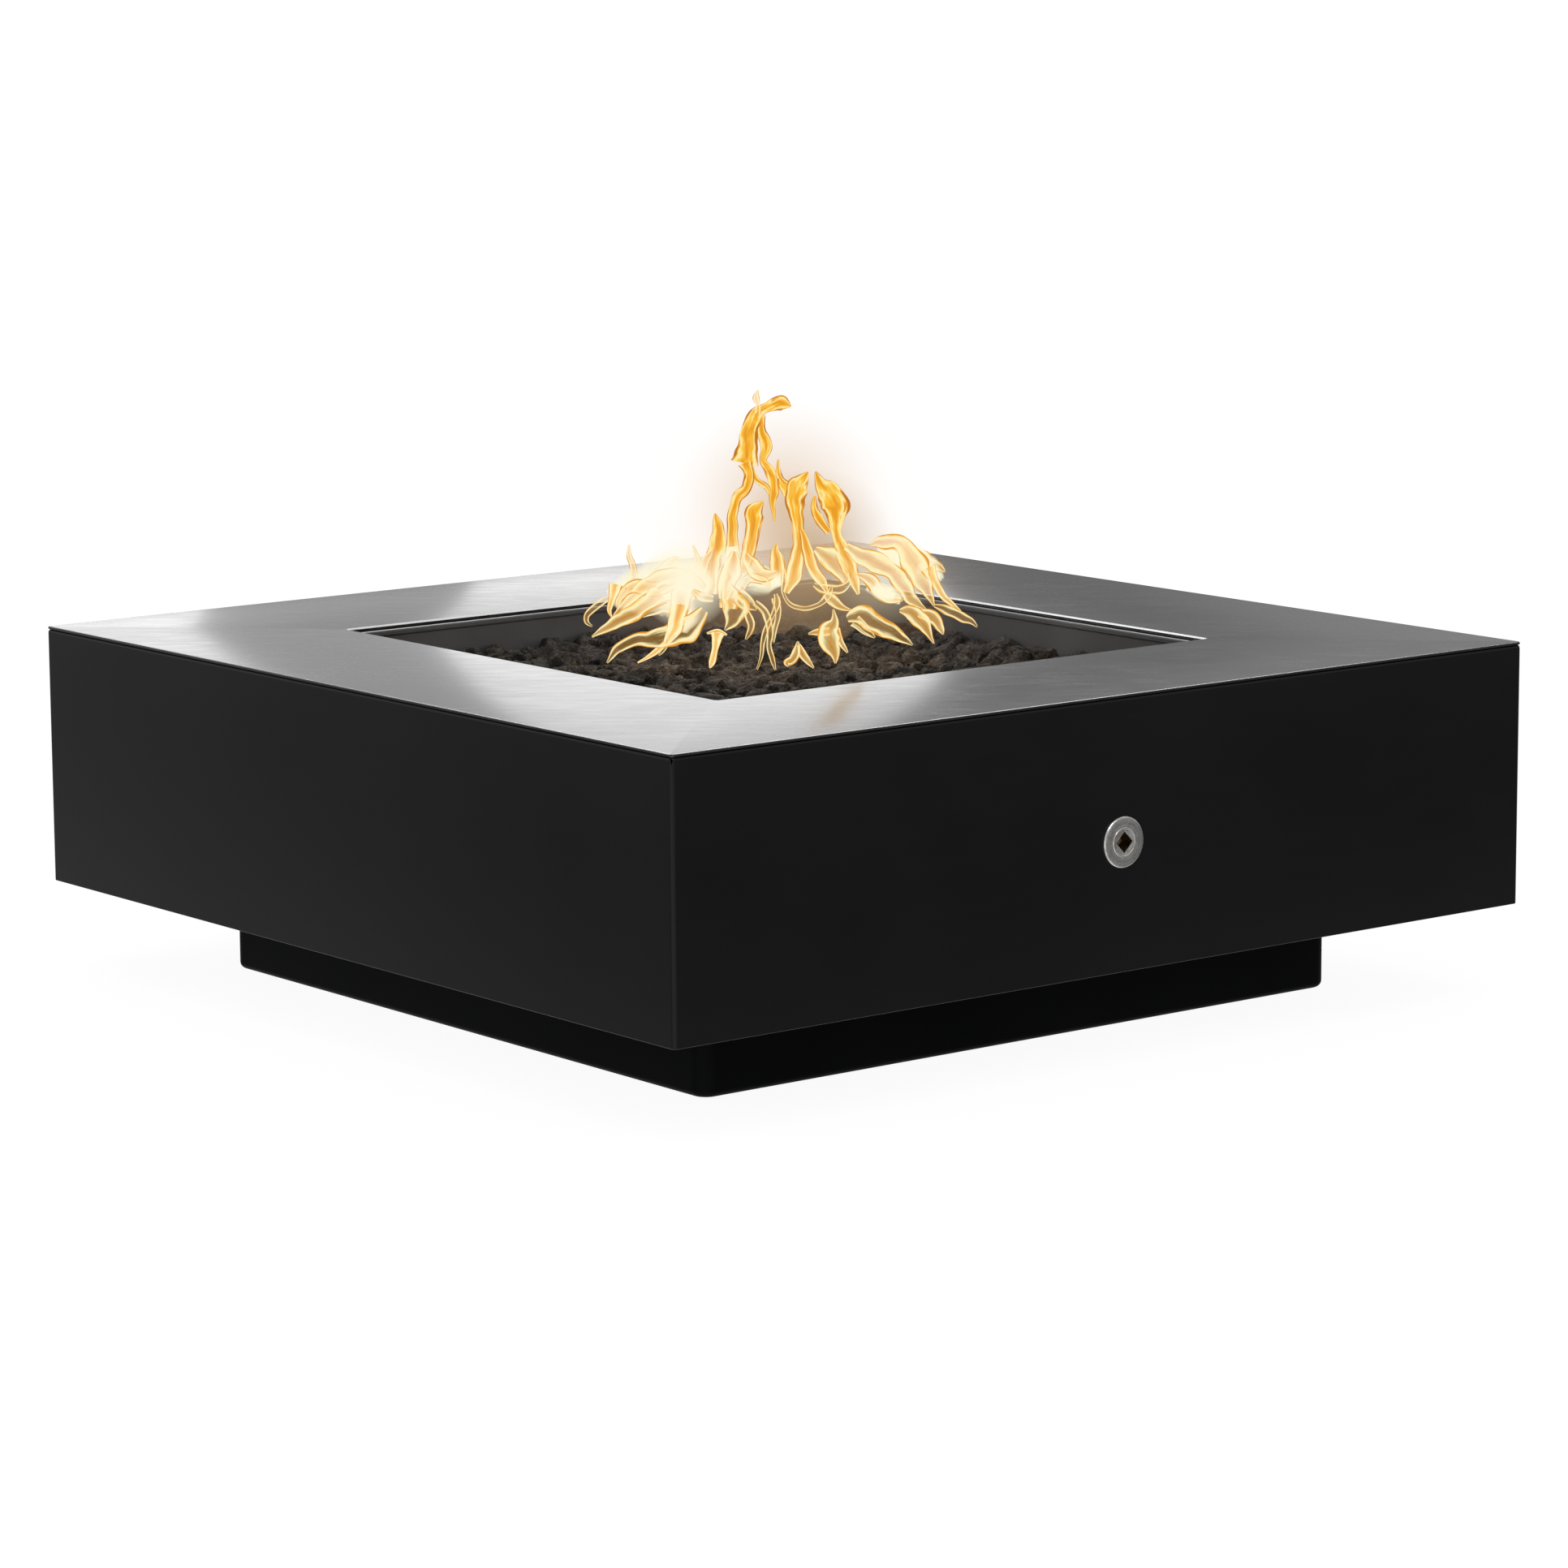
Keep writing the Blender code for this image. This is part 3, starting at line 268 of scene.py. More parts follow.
def sealMaterial():
    made, board = newMaterial("whiteSeal")
    cloud = board.noise(board.place(), 180.0, 3.0)
    colour = board.mixed(cloud, paint(0.74, 0.74, 0.71), paint(0.86, 0.86, 0.84))
    board.solid({
        "Base Color": colour, "Roughness": 0.35 + 0.15 * cloud,
        "Normal": board.bump(cloud, 0.0001)})
    return made


def rockMaterial():
    # vesicular lava: dark body, browner and greyer patches, dusty high spots, round pores painted near
    # black as shade
    look = {"black": (0.020, 0.018, 0.016), "brown": (0.072, 0.059, 0.047),
            "grey": (0.150, 0.138, 0.122), "patchScale": 34.0, "poreScale": 230.0, "finePoreScale": 560.0}
    made, board = newMaterial("lavaRock")
    where = board.place()
    wander = board.noise(where, 60.0, 3.0, 0.6)
    patch = board.spread(board.noise(where, look["patchScale"], 3.0, 0.6), 0.36, 0.66)
    dust = board.spread(board.noise(where, 120.0, 4.0, 0.7), 0.50, 0.72)
    pore = board.spread(board.pits(where, look["poreScale"]), 0.10, 0.42)
    finePore = board.spread(board.pits(where, look["finePoreScale"]), 0.10, 0.50)
    body = board.mixed(patch, paint(*look["black"]), paint(*look["brown"]))
    dusty = board.mixed(dust * 0.75, body, paint(*look["grey"]))
    # painted shade: the pores are darkened towards near black in place of the shade inside the pits
    colour = board.mixed(0.35 + 0.65 * pore * finePore, paint(0.010, 0.008, 0.007), dusty)
    height = 0.9 * pore + 0.4 * finePore + 0.8 * wander
    board.solid({
        "Base Color": colour, "Roughness": 0.95 - 0.2 * patch, "Specular IOR Level": 0.05,
        "Normal": board.bump(height, 0.0016)})
    made.diffuse_color = paint(*look["brown"])
    return made


def keyPlateMaterial():
    # nickel turned on a lathe: rings of fine scratches round the hole, worn and mottled
    look = {"colour": (0.80, 0.79, 0.76), "dull": (0.34, 0.33, 0.31), "roughness": 0.17,
            "ringScale": 1500.0, "ringDepth": 0.00022, "mottleScale": 150.0}
    made, board = newMaterial("turnedNickel")
    centre = (plateLow + plateHigh) / 2
    where = board.node("TexCoord", out=3)
    local = board.vector("SUBTRACT", where, centre)
    flat = board.vector("MULTIPLY", local, (1, 0, 1))
    radius = board.vector("LENGTH", flat, out=1)
    rings = board.noise(board.node("CombineXYZ", None, {"X": radius * look["ringScale"]}),
                        1.0, 3.0, 0.7)
    mottle = board.spread(board.noise(where, look["mottleScale"], 4.0, 0.65), 0.38, 0.66)
    colour = board.mixed(mottle * 0.6, paint(*look["colour"]), paint(*look["dull"]))
    gloss = look["roughness"] + 0.16 * (rings - 0.5) + 0.14 * mottle
    board.solid({
        "Base Color": colour, "Metallic": 1.0, "Roughness": gloss,
        "Normal": board.bump(rings + 0.8 * mottle, look["ringDepth"])})
    return made


deckCoat = powderCoat("deckPowderCoat")
boxCoat = powderCoat("boxPowderCoat")
plinthCoat = powderCoat("plinthPowderCoat")
panCoat = powderCoat("panHeatCoat")
rockFinish = rockMaterial()
keyPlateFinish = keyPlateMaterial()
stainless = metal("stainlessSteel")
slotFinishes = {
    "powder_coat": boxCoat, "plinth_coat": plinthCoat, "pan_coat": panCoat, "nickel": keyPlateFinish,
    "brass": metal("yellowBrass"), "chrome": metal("chromedBrass"), "bare_steel": metal("bareSteel"),
    "zinc": metal("zincPlate"), "seal": sealMaterial(), "connector": stainless,
    "lava_rock": rockFinish}
for part in frame["record"]["subparts"]:
    nodes[part["node"]].data.materials.clear()
    nodes[part["node"]].data.materials.append(slotFinishes[part["material_slot"]])
print("materials made")


# Mesh helpers

def addMesh(mesh, finish, body):
    mesh.materials.append(finish)
    made = bpy.data.objects.new(mesh.name, mesh)
    collection.objects.link(made)
    if body:
        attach(made, body)
    return made


def addPiece(name, bm, finish, body="pit", smooth=35):
    bmesh.ops.recalc_face_normals(bm, faces=bm.faces)
    mesh = bpy.data.meshes.new(name)
    bm.to_mesh(mesh)
    bm.free()
    if smooth:
        mesh.shade_smooth()
        mesh.set_sharp_from_angle(angle=math.radians(smooth))
    return addMesh(mesh, finish, body)


def loft(loops, closedChain=True):
    bm = bmesh.new()
    rows = [[bm.verts.new(point) for point in loop] for loop in loops]
    count = len(rows[0])
    for row in range(len(rows) if closedChain else len(rows) - 1):
        near, far = rows[row], rows[(row + 1) % len(rows)]
        for spot in range(count):
            after = (spot + 1) % count
            bm.faces.new((near[spot], near[after], far[after], far[spot]))
    if not closedChain:
        bm.faces.new(rows[0])
        bm.faces.new(rows[-1][::-1])
    return bm


def roundedSquare(half, radius, z, steps):
    points = []
    for corner in range(4):
        turn = math.radians(45 + 90 * corner)
        middle = math.sqrt(2) * (half - radius) * Vector((math.cos(turn), math.sin(turn)))
        for step in range(steps + 1):
            angle = math.radians(90 * corner + 90 * step / steps)
            points.append(Vector((pitMiddle.x + middle.x + radius * math.cos(angle),
                                  pitMiddle.y + middle.y + radius * math.sin(angle), z)))
    return points


def arc(x, z, radius, first, last, steps):
    # points of an arc in the (inset, height) section of a sheet
    angles = (math.radians(first + (last - first) * step / steps) for step in range(steps + 1))
    return [(x + radius * math.cos(angle), z + radius * math.sin(angle)) for angle in angles]


def sweepSquare(section, half, corner, steps):
    # a sheet's section, as (inset, height) points, taken round the pit
    return loft([roundedSquare(half - inset, max(corner - inset, 0.0008), z, steps)
                 for inset, z in section])


def turned(loops, matrix, closedChain=True):
    bm = loft(loops, closedChain)
    bmesh.ops.transform(bm, matrix=matrix, verts=bm.verts)
    return bm


def ringLoop(radius, along, sides):
    return [Vector((radius * math.cos(math.tau * spot / sides), radius * math.sin(math.tau * spot / sides),
                    along)) for spot in range(sides)]


def cutAway(piece, tools):
    # exact Booleans, applied, and the cutters thrown away
    finish = piece.data.materials[0]
    cutters = [addPiece("cutter", tool, finish, body=None, smooth=0) for tool in tools]
    for cutter in cutters:
        step = piece.modifiers.new("cut", "BOOLEAN")
        step.solver = "EXACT"
        step.object = cutter
    bpy.context.view_layer.update()
    shaped = bpy.data.meshes.new_from_object(piece.evaluated_get(bpy.context.evaluated_depsgraph_get()))
    piece.modifiers.clear()
    piece.data = shaped
    for cutter in cutters:
        bpy.data.objects.remove(cutter)


# Deck, box and plinth

def buildDeck():
    deck = {"edge": 0.0015, "openingEdge": 0.0019, "corner": 0.005, "openingCorner": 0.0030, "steps": 5,
            "cornerSteps": 10, "linerFlange": 0.025,  # the liner's flange lies under the deck
            "openingProfile": ((1.7, 0.0), (1.2, 0.05), (1.0, 0.10), (0.88, 0.20), (0.12, 0.92),
                               (0.0, 1.05))}
    thick = deckHigh.z - deckLow.z
    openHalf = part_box("opening_liner_right")[1][0] - pitMiddle.x - deck["linerFlange"]
    edge, openEdge = deck["edge"], min(deck["openingEdge"], thick)
    section = [(halfDeck, deckTop - thick)] + [
        (halfDeck - edge + dx, deckTop - edge + dz) for dx, dz in arc(0, 0, edge, 0, 90, deck["steps"])]
    section += [(openHalf + openEdge * along, deckTop - openEdge * down)
                for along, down in deck["openingProfile"]]
    section += [(openHalf, deckTop - thick)]
    loops = []
    for half, z in section:
        outside = half > (halfDeck + openHalf) / 2
        radius = deck["corner"] + half - halfDeck if outside else deck["openingCorner"] + half - openHalf
        loops.append(roundedSquare(half, radius, z, deck["cornerSteps"]))
    piece = addPiece("deckSheet", loft(loops), deckCoat)
    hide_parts("deck_plate")
    return openHalf


def buildBox():
    box = {"sheet": 0.003, "fold": 0.0040, "corner": 0.005, "topFlange": 0.030, "bottomFlange": 0.025,
           "footFold": 0.0012, "notchDepth": 0.0085, "notchWidth": 0.0032, "notchKnee": 0.003,
           "notchReach": 0.004, "holeRadius": 0.0158, "cornerSteps": 10}
    top, bottom = frontHigh.z, frontLow.z
    sheet, fold = box["sheet"], box["fold"]
    foot = box["footFold"]
    section = [(box["topFlange"], top)] + arc(fold, top - fold, fold, 90, 180, 6)
    section += arc(foot, bottom + foot, foot, 180, 270, 3)
    flange = box["bottomFlange"]
    section += [(flange, bottom), (flange, bottom + sheet), (sheet, bottom + sheet)]
    section += arc(fold, top - fold, fold - sheet, 180, 90, 3)
    section += [(box["topFlange"], top - sheet)]
    shell = addPiece("boxShell", sweepSquare(section, halfDeck, box["corner"], box["cornerSteps"]),
                     boxCoat)
    tools = [turned([ringLoop(box["holeRadius"], z, 48) for z in (-0.01, 0.01)], platePlace,
                    closedChain=False)]
    reach = halfDeck - box["corner"] * (1 - math.sqrt(0.5))  # the corner's outermost point
    knee, out = box["notchKnee"], box["notchReach"]
    for corner in range(4):
        turn = Matrix.Translation((pitMiddle.x, pitMiddle.y, 0)) @ Matrix.Rotation(
            math.radians(45 + 90 * corner), 4, "Z")
        far, wide = reach * math.sqrt(2), box["notchWidth"] / 2
        outline = [(-wide, top + 0.001), (wide, top + 0.001), (wide * 0.8, top - knee),
                   (0, top - box["notchDepth"]), (-wide * 0.8, top - knee)]
        tools.append(turned([[Vector((far + shift, y, z)) for y, z in outline] for shift in (-out, out)],
                            turn, closedChain=False))
    cutAway(shell, tools)
    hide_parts(*(f"fascia_{side}" for side in sideNames))


def buildFrame(openHalf):
    trim = {"sheet": 0.0025, "flange": 0.025, "ledge": 0.030, "fold": 0.0006, "gap": 0.0003,
            "corner": 0.0015, "cornerSteps": 4}
    top = frontHigh.z
    ledge = panLow.z - trim["gap"]
    sheet, fold = trim["sheet"], trim["fold"]
    # inset is measured inwards from the opening's edge
    section = [(-trim["flange"], top), (-fold, top), (0, top - fold), (0, ledge)]
    section += [(trim["ledge"], ledge), (trim["ledge"], ledge - sheet), (-sheet, ledge - sheet)]
    section += [(-sheet, top - sheet), (-trim["flange"], top - sheet)]
    swept = sweepSquare(section, openHalf, trim["corner"], trim["cornerSteps"])
    piece = addPiece("openingFrame", swept, boxCoat)
    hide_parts(*(f"opening_liner_{side}" for side in sideNames))


def buildPlinth():
    plinth = {"sheet": 0.003, "fold": 0.0045, "foot": 0.008, "corner": 0.020, "flange": 0.032,
              "cornerSteps": 12, "boltHole": 0.0045}
    half = pitMiddle.y - plinthLow.y
    top, bottom = plinthHigh.z, plinthLow.z
    sheet, fold, foot = plinth["sheet"], plinth["fold"], plinth["foot"]
    section = [(plinth["flange"], top)] + arc(fold, top - fold, fold, 90, 180, 5)
    section += arc(foot, bottom + foot, foot, 180, 270, 8)
    section += [(plinth["flange"], bottom), (plinth["flange"], bottom + sheet)]
    section += arc(foot, bottom + foot, foot - sheet, 270, 180, 5)
    section += arc(fold, top - fold, fold - sheet, 180, 90, 3)
    section += [(plinth["flange"], top - sheet)]
    shell = addPiece("plinthShell", sweepSquare(section, half, plinth["corner"], plinth["cornerSteps"]),
                     plinthCoat)
    tools = []
    for side in sideNames:
        low, high = cornersOf(f"plinth_bolt_{side}")
        spot = (low + high) / 2
        tools.append(turned([ringLoop(plinth["boltHole"], z, 20) for z in (top - 0.02, top + 0.02)],
                            Matrix.Translation((spot.x, spot.y, 0)), closedChain=False))
    cutAway(shell, tools)
    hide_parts(*(f"plinth_{side}" for side in sideNames))


openingHalf = buildDeck()
buildBox()
buildFrame(openingHalf)
buildPlinth()
print("deck, box, opening and plinth built")


# Key plate

def diamondLoop(flats, along, sides, soften):
    # a square on its corner, with its corners cut back a little
    points = []
    for spot in range(sides):
        angle = math.tau * spot / sides
        reach = flats / math.sqrt(2) / (abs(math.cos(angle)) + abs(math.sin(angle)))
        reach = min(reach, flats / math.sqrt(2) - soften)
        points.append(Vector((reach * math.cos(angle), reach * math.sin(angle), along)))
    return points


def buildKeyPlate():
    plate = {"rise": 0.0036, "edge": 0.0022, "ring": 0.0155, "bead": 0.0010, "dish": 0.0006,
             "hole": 0.0168, "sleeve": 0.0158, "back": 0.0003, "pocket": 0.0015, "sides": 96,
             # the hole's edge: (wider, lower, corner softening)
             "lip": ((0.0010, 0.0, 0.0005), (0.0004, 0.0001, 0.0003), (0.0, 0.0005, 0.0002))}
    radius = (plateHigh.x - plateLow.x) / 2
    rise, edge, sides = plate["rise"], plate["edge"], plate["sides"]
    profile = [(radius, plate["back"])]
    ring, bead, dish = plate["ring"], plate["bead"], plate["dish"]
    profile += [(radius - edge + dx, rise - dish - edge + dz) for dx, dz in arc(0, 0, edge, 0, 80, 6)]
    profile += [(radius - 0.0040, rise - dish * 0.8), (ring + 0.0030, rise - dish * 0.9),
                (ring + bead, rise - dish)]
    profile += [(ring + bead * math.cos(math.radians(angle)),
                 rise - dish + dish * math.sin(math.radians(angle)))
                for angle in range(20, 161, 20)]
    profile += [(ring - bead, rise - dish * 0.7)]
    loops = [ringLoop(r, z, sides) for r, z in profile]
    land = rise - dish * 0.6
    loops += [diamondLoop(plate["hole"] + wider, land - lower, sides, soften)
              for wider, lower, soften in plate["lip"]]
    loops += [diamondLoop(plate["hole"], plate["pocket"], sides, plate["lip"][-1][2])]
    loops += [ringLoop(plate["sleeve"], along, sides) for along in (plate["pocket"], plate["back"])]
    piece = addPiece("keyPlate", turned(loops, platePlace), keyPlateFinish, smooth=40)
    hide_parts("key_escutcheon")


buildKeyPlate()
print("key plate built")


# Gas line

def smoothRoute(points, steps):
    route = []
    for spot in range(len(points) - 1):
        before, start, end = points[max(spot - 1, 0)], points[spot], points[spot + 1]
        after = points[min(spot + 2, len(points) - 1)]
        for step in range(steps):
            part = step / steps
            route.append(0.5 * (2 * start + (end - before) * part
                                + (2 * before - 5 * start + 4 * end - after) * part ** 2
                                + (3 * start - before - 3 * end + after) * part ** 3))
    route.append(points[-1])
    return route


def evenRoute(route, pitch):
    # the same line with its points a fixed distance apart
    lengths = [0.0]
    for before, after in zip(route, route[1:]):
        lengths.append(lengths[-1] + (after - before).length)
    count = int(lengths[-1] / pitch)
    table = np.array(route)
    spots = np.linspace(0, lengths[-1], count + 1)
    return [Vector(np.array([np.interp(spot, lengths, table[:, axis]) for axis in range(3)]))
            for spot in spots], lengths[-1]


def buildGasLine():
    line = {"outer": 0.0079, "inner": 0.0069, "pitch": 0.0046, "sides": 20, "straight": 0.022,
            "bend": ((0.098, 0.042, 0.145), (0.098, 0.115, 0.377), (0.078, 0.200, 0.580)),
            "sag": ((0.060, 0.52, 0.696), (0.034, 0.70, 0.746)),
            "rise": ((0.012, 0.082, 0.663), (0.002, 0.030, 0.541))}
    capLow, capHigh = cornersOf("valve_end_cap")
    mixLow, mixHigh = cornersOf("air_mixer")
    start = Vector((capHigh.x + 0.0003, (capLow.y + capHigh.y) / 2, (capLow.z + capHigh.z) / 2))
    end = Vector(((mixLow.x + mixHigh.x) / 2, (mixLow.y + mixHigh.y) / 2, mixLow.z - 0.0003))
    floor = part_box("underside_panel")[1][2]
    lead, drop = Vector((line["straight"], 0, 0)), Vector((0, 0, -line["straight"]))
    points = [start, start + lead, start + 2 * lead]
    points += [start + Vector((across, inward, -fall * (start.z - floor)))
               for across, inward, fall in line["bend"]]
    points += [Vector((across, start.y + part * (end.y - start.y), start.z - fall * (start.z - floor)))
               for across, part, fall in line["sag"]]
    points += [Vector((across, end.y - short, end.z - fall * (end.z - floor)))
               for across, short, fall in line["rise"]]
    points += [end + 2 * drop, end + drop, end]
    route, length = evenRoute(smoothRoute(points, 8), line["pitch"] / 4)
    loops = []
    for spot, point in enumerate(route):
        ahead = (route[min(spot + 1, len(route) - 1)] - route[max(spot - 1, 0)]).normalized()
        turn = ahead.to_track_quat("Z", "Y").to_matrix()
        wave = (1 + math.cos(math.tau * spot / 4)) / 2
        radius = line["inner"] + (line["outer"] - line["inner"]) * wave
        loops.append([point + turn @ corner for corner in ringLoop(radius, 0, line["sides"])])
    piece = addPiece("corrugatedGasLine", loft(loops, closedChain=False), stainless,
                     smooth=60)
    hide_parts("gas_connector")
    print("gas line built,", round(length, 3), "m long")


buildGasLine()


# Lava rocks

def lavaStone(seed, level):
    # one stone of unit radius: a lumpy, chipped and pitted ball
    stone = {"lump": 0.30, "lumpScale": 1.3, "knob": 0.16, "knobScale": 2.9, "stretch": (0.78, 1.18),
             "chips": 9, "chipReach": (0.58, 0.88), "chipCut": 0.93, "rough": 0.055, "roughScale": 7,
             "grit": 0.030, "gritScale": 15, "pitScale": 5.5, "pitSize": 0.34, "pitDepth": 0.16}
    bm = bmesh.new()
    bmesh.ops.create_icosphere(bm, subdivisions=level, radius=1)
    rng = np.random.default_rng(seed)
    shift = Vector(rng.uniform(-50, 50, 3))
    stretch = Vector(rng.uniform(*stone["stretch"], 3))
    chips = [(Vector(rng.normal(size=3)).normalized(), rng.uniform(*stone["chipReach"]))
             for _ in range(stone["chips"])]
    points = []
    for vert in bm.verts:
        point = vert.co.copy()
        lump = stone["lump"] * noise.noise(point * stone["lumpScale"] + shift)
        lump += stone["knob"] * noise.noise(point * stone["knobScale"] + shift)
        point *= 1 + lump
        for axis, reach in chips:  # broken faces
            over = point.dot(axis) - reach
            if over > 0:
                point -= axis * over * stone["chipCut"]
        rough = noise.noise(point * stone["roughScale"] + shift) * stone["rough"]
        rough += noise.noise(point * stone["gritScale"] - shift) * stone["grit"]
        pit = noise.voronoi(point * stone["pitScale"] + shift)[0][0]
        point *= 1 + rough - stone["pitDepth"] * max(0.0, stone["pitSize"] - pit)
        points.append(Vector((point.x * stretch.x, point.y * stretch.y, point.z * stretch.z)))
    faces = [[vert.index for vert in face.verts] for face in bm.faces]
    bm.free()
    points = np.array(points)
    return points / np.abs(points).max(axis=0).mean(), np.array(faces)


def settle(sizes, rocks, rng):
    # spread stones over a square so that they push one another apart
    half = rocks["half"]
    spots = rng.uniform(-half, half, (len(sizes), 2))
    for _ in range(rocks["rounds"]):
        apart = spots[:, None] - spots[None]
        distance = np.sqrt((apart ** 2).sum(-1)) + 1e-6
        wanted = (sizes[:, None] + sizes[None]) * rocks["spacing"]
        push = np.clip(wanted - distance, 0, None) / distance
        np.fill_diagonal(push, 0)
        spots = spots + rocks["push"] * (apart * push[..., None]).sum(1)
        limit = (half - sizes * rocks["wallGap"])[:, None]
        spots = np.clip(spots, -limit, limit)
    return spots


def fillMesh(mesh, points, faces):
    # triangles straight from arrays, which is quick for very many
    mesh.vertices.add(len(points))
    mesh.vertices.foreach_set("co", points.astype(np.float32).ravel())
    mesh.loops.add(faces.size)
    mesh.loops.foreach_set("vertex_index", faces.astype(np.int32).ravel())
    mesh.polygons.add(len(faces))
    mesh.polygons.foreach_set("loop_start", np.arange(0, faces.size, 3, dtype=np.int32))
    mesh.update(calc_edges=True)
    mesh.validate()


def buildRocks():
    # heights are measured from the top of the bed
    rocks = {"seed": 7, "kinds": 14, "half": 0.3480, "batches": 18, "spacing": 0.78, "rounds": 90,
             "push": 0.28, "wallGap": 0.80, "squat": 0.86, "meanSize": 0.021, "sink": 0.30,
             "sizeCurve": (1.6, 2.2), "floorGap": 0.0025,
             "top": {"count": 560, "level": 4, "sizes": (0.0130, 0.0270), "height": -0.0205,
                     "scatter": 0.0055},
             "under": {"count": 380, "level": 3, "sizes": (0.017, 0.022), "height": -0.0310,
                       "scatter": 0.003}}
    rng = np.random.default_rng(rocks["seed"])
    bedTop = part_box("lava_rock_bed")[1][2]
    squat = np.array([1, 1, rocks["squat"]])
    chunks = [[] for _ in range(rocks["batches"])]
    number = 0
    for layer in ("under", "top"):
        pile = rocks[layer]
        kinds = [lavaStone(rocks["seed"] + spot, pile["level"]) for spot in range(rocks["kinds"])]
        least, most = pile["sizes"]
        sizes = rng.beta(*rocks["sizeCurve"], pile["count"]) * (most - least) + least
        spots = settle(sizes, rocks, rng)
        for size, (x, y) in zip(sizes, spots):
            points, faces = kinds[rng.integers(rocks["kinds"])]
            turn = Vector(rng.normal(size=3)).normalized()
            spin = np.array(Matrix.Rotation(rng.uniform(0, math.tau), 3, turn))
            sink = (rocks["meanSize"] - size) * rocks["sink"]
            z = bedTop + pile["height"] + sink + rng.uniform(-1, 1) * pile["scatter"]
            placed = (points @ spin.T) * squat * size + (pitMiddle.x + x, pitMiddle.y + y, z)
            placed[:, 2] = np.maximum(placed[:, 2], panLow.z + rocks["floorGap"])
            chunks[number % rocks["batches"]].append((placed, faces))
            number += 1
    for spot, chunk in enumerate(chunks):
        offsets = np.cumsum([0] + [len(points) for points, _ in chunk])
        points = np.concatenate([points for points, _ in chunk])
        faces = np.concatenate([faces + offset for (_, faces), offset in zip(chunk, offsets)])
        mesh = bpy.data.meshes.new(f"lavaRocks{spot + 1}")
        fillMesh(mesh, points, faces)
        mesh.shade_smooth()
        addMesh(mesh, rockFinish, "pit")
    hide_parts("lava_rock_bed")


buildRocks()


# Camera

def placeCamera():
    camera = {"location": (-3.8888, -4.9497, 1.3070), "azimuth": -38.256, "elevation": 9.714,
              "roll": -0.351, "lens": 125.74, "sensor": 36.0}
    azimuth, elevation, roll = (math.radians(camera[name]) for name in ("azimuth", "elevation", "roll"))
    level = math.cos(elevation)
    back = Vector((math.sin(azimuth) * level, -math.cos(azimuth) * level, math.sin(elevation)))
    right = Vector((math.cos(azimuth), math.sin(azimuth), 0))
    up = back.cross(right)
    tiltedRight = math.cos(roll) * right + math.sin(roll) * up
    tiltedUp = math.cos(roll) * up - math.sin(roll) * right
    turn = Matrix((tiltedRight, tiltedUp, back)).transposed().to_4x4()
    data = bpy.data.cameras.new("camera")
    data.lens = camera["lens"]
    data.sensor_width = camera["sensor"]
    data.clip_end = 200
    made = bpy.data.objects.new("camera", data)
    made.matrix_world = Matrix.Translation(camera["location"]) @ turn
    collection.objects.link(made)
    bpy.context.scene.camera = made
    away = Vector((-back.x, -back.y, 0)).normalized()
    return right, away, math.tan(elevation)


acrossWay, awayWay, downSlope = placeCamera()


def fromMiddle(across, away, height):
    # a place by its distance across the view, behind the middle, and above the deck
    spot = Vector((pitMiddle.x, pitMiddle.y, 0)) + across * acrossWay + away * awayWay
    spot.z = deckTop + height
    return spot


# Flames, shown burning but not part of the object

def flameMaterial():
    # orange above, pale and hot below, see-through middles; "rim" runs from the middle to the edge
    made, board = newMaterial("flame")
    rim, heat, full, soft = (board.node("Attribute", {"attribute_name": name}, out=2)
                             for name in ("rim", "warmth", "full", "soft"))
    lane = board.node("Attribute", {"attribute_name": "lane"}, out=1)
    streak = board.spread(board.noise(lane, 1.0, 2.0, 0.5), 0.3, 0.7)
    wave = rim + (0.80 - 0.40 * heat) * (streak - 0.45)
    cool = board.node("ValToRGB", {"stops": [
        (0.00, (0.82, 0.33, 0.020)), (0.18, (0.94, 0.45, 0.035)), (0.36, (0.98, 0.57, 0.070)),
        (0.52, (1.0, 0.80, 0.28)), (0.66, (1.0, 0.86, 0.42)), (0.82, (0.92, 0.42, 0.045)),
        (1.00, (0.52, 0.18, 0.015))]}, {"Fac": wave})
    hot = board.node("ValToRGB", {"stops": [
        (0.00, (0.84, 0.38, 0.07)), (0.30, (0.98, 0.58, 0.16)), (0.50, (1.0, 0.90, 0.50)),
        (0.84, (1.0, 0.94, 0.60)), (0.95, (1.0, 0.64, 0.16)), (1.00, (0.80, 0.36, 0.05))]},
        {"Fac": wave + 0.12 * heat})
    white = board.mixed(soft, hot, paint(1.0, 0.95, 0.68))
    colour = board.mixed(heat, cool, white)
    outlined = full + (0.96 - full) * board.spread(wave, 0.34, 0.66)
    misty = full * board.spread(wave, 0.15, 0.95, 1.0, 0.0)
    board.glowing(outlined + soft * (misty - outlined), colour)
    return made


def haloMaterial(name, look):
    # painted glow of the fire's light on a flat disc with no lamp: strongest in the middle, nothing at the
    # edge
    made, board = newMaterial(name)
    where = board.node("TexCoord", out=0)
    local = board.node("Mapping", None,
                       {"Vector": where, "Location": (-1, -1, -1), "Scale": (2, 2, 2)})
    near = board.node("TexGradient", {"gradient_type": "SPHERICAL"}, {"Vector": local}, out=1)
    board.glowing(look["strength"] * near ** look["fall"], paint(*look["colour"]))
    return made


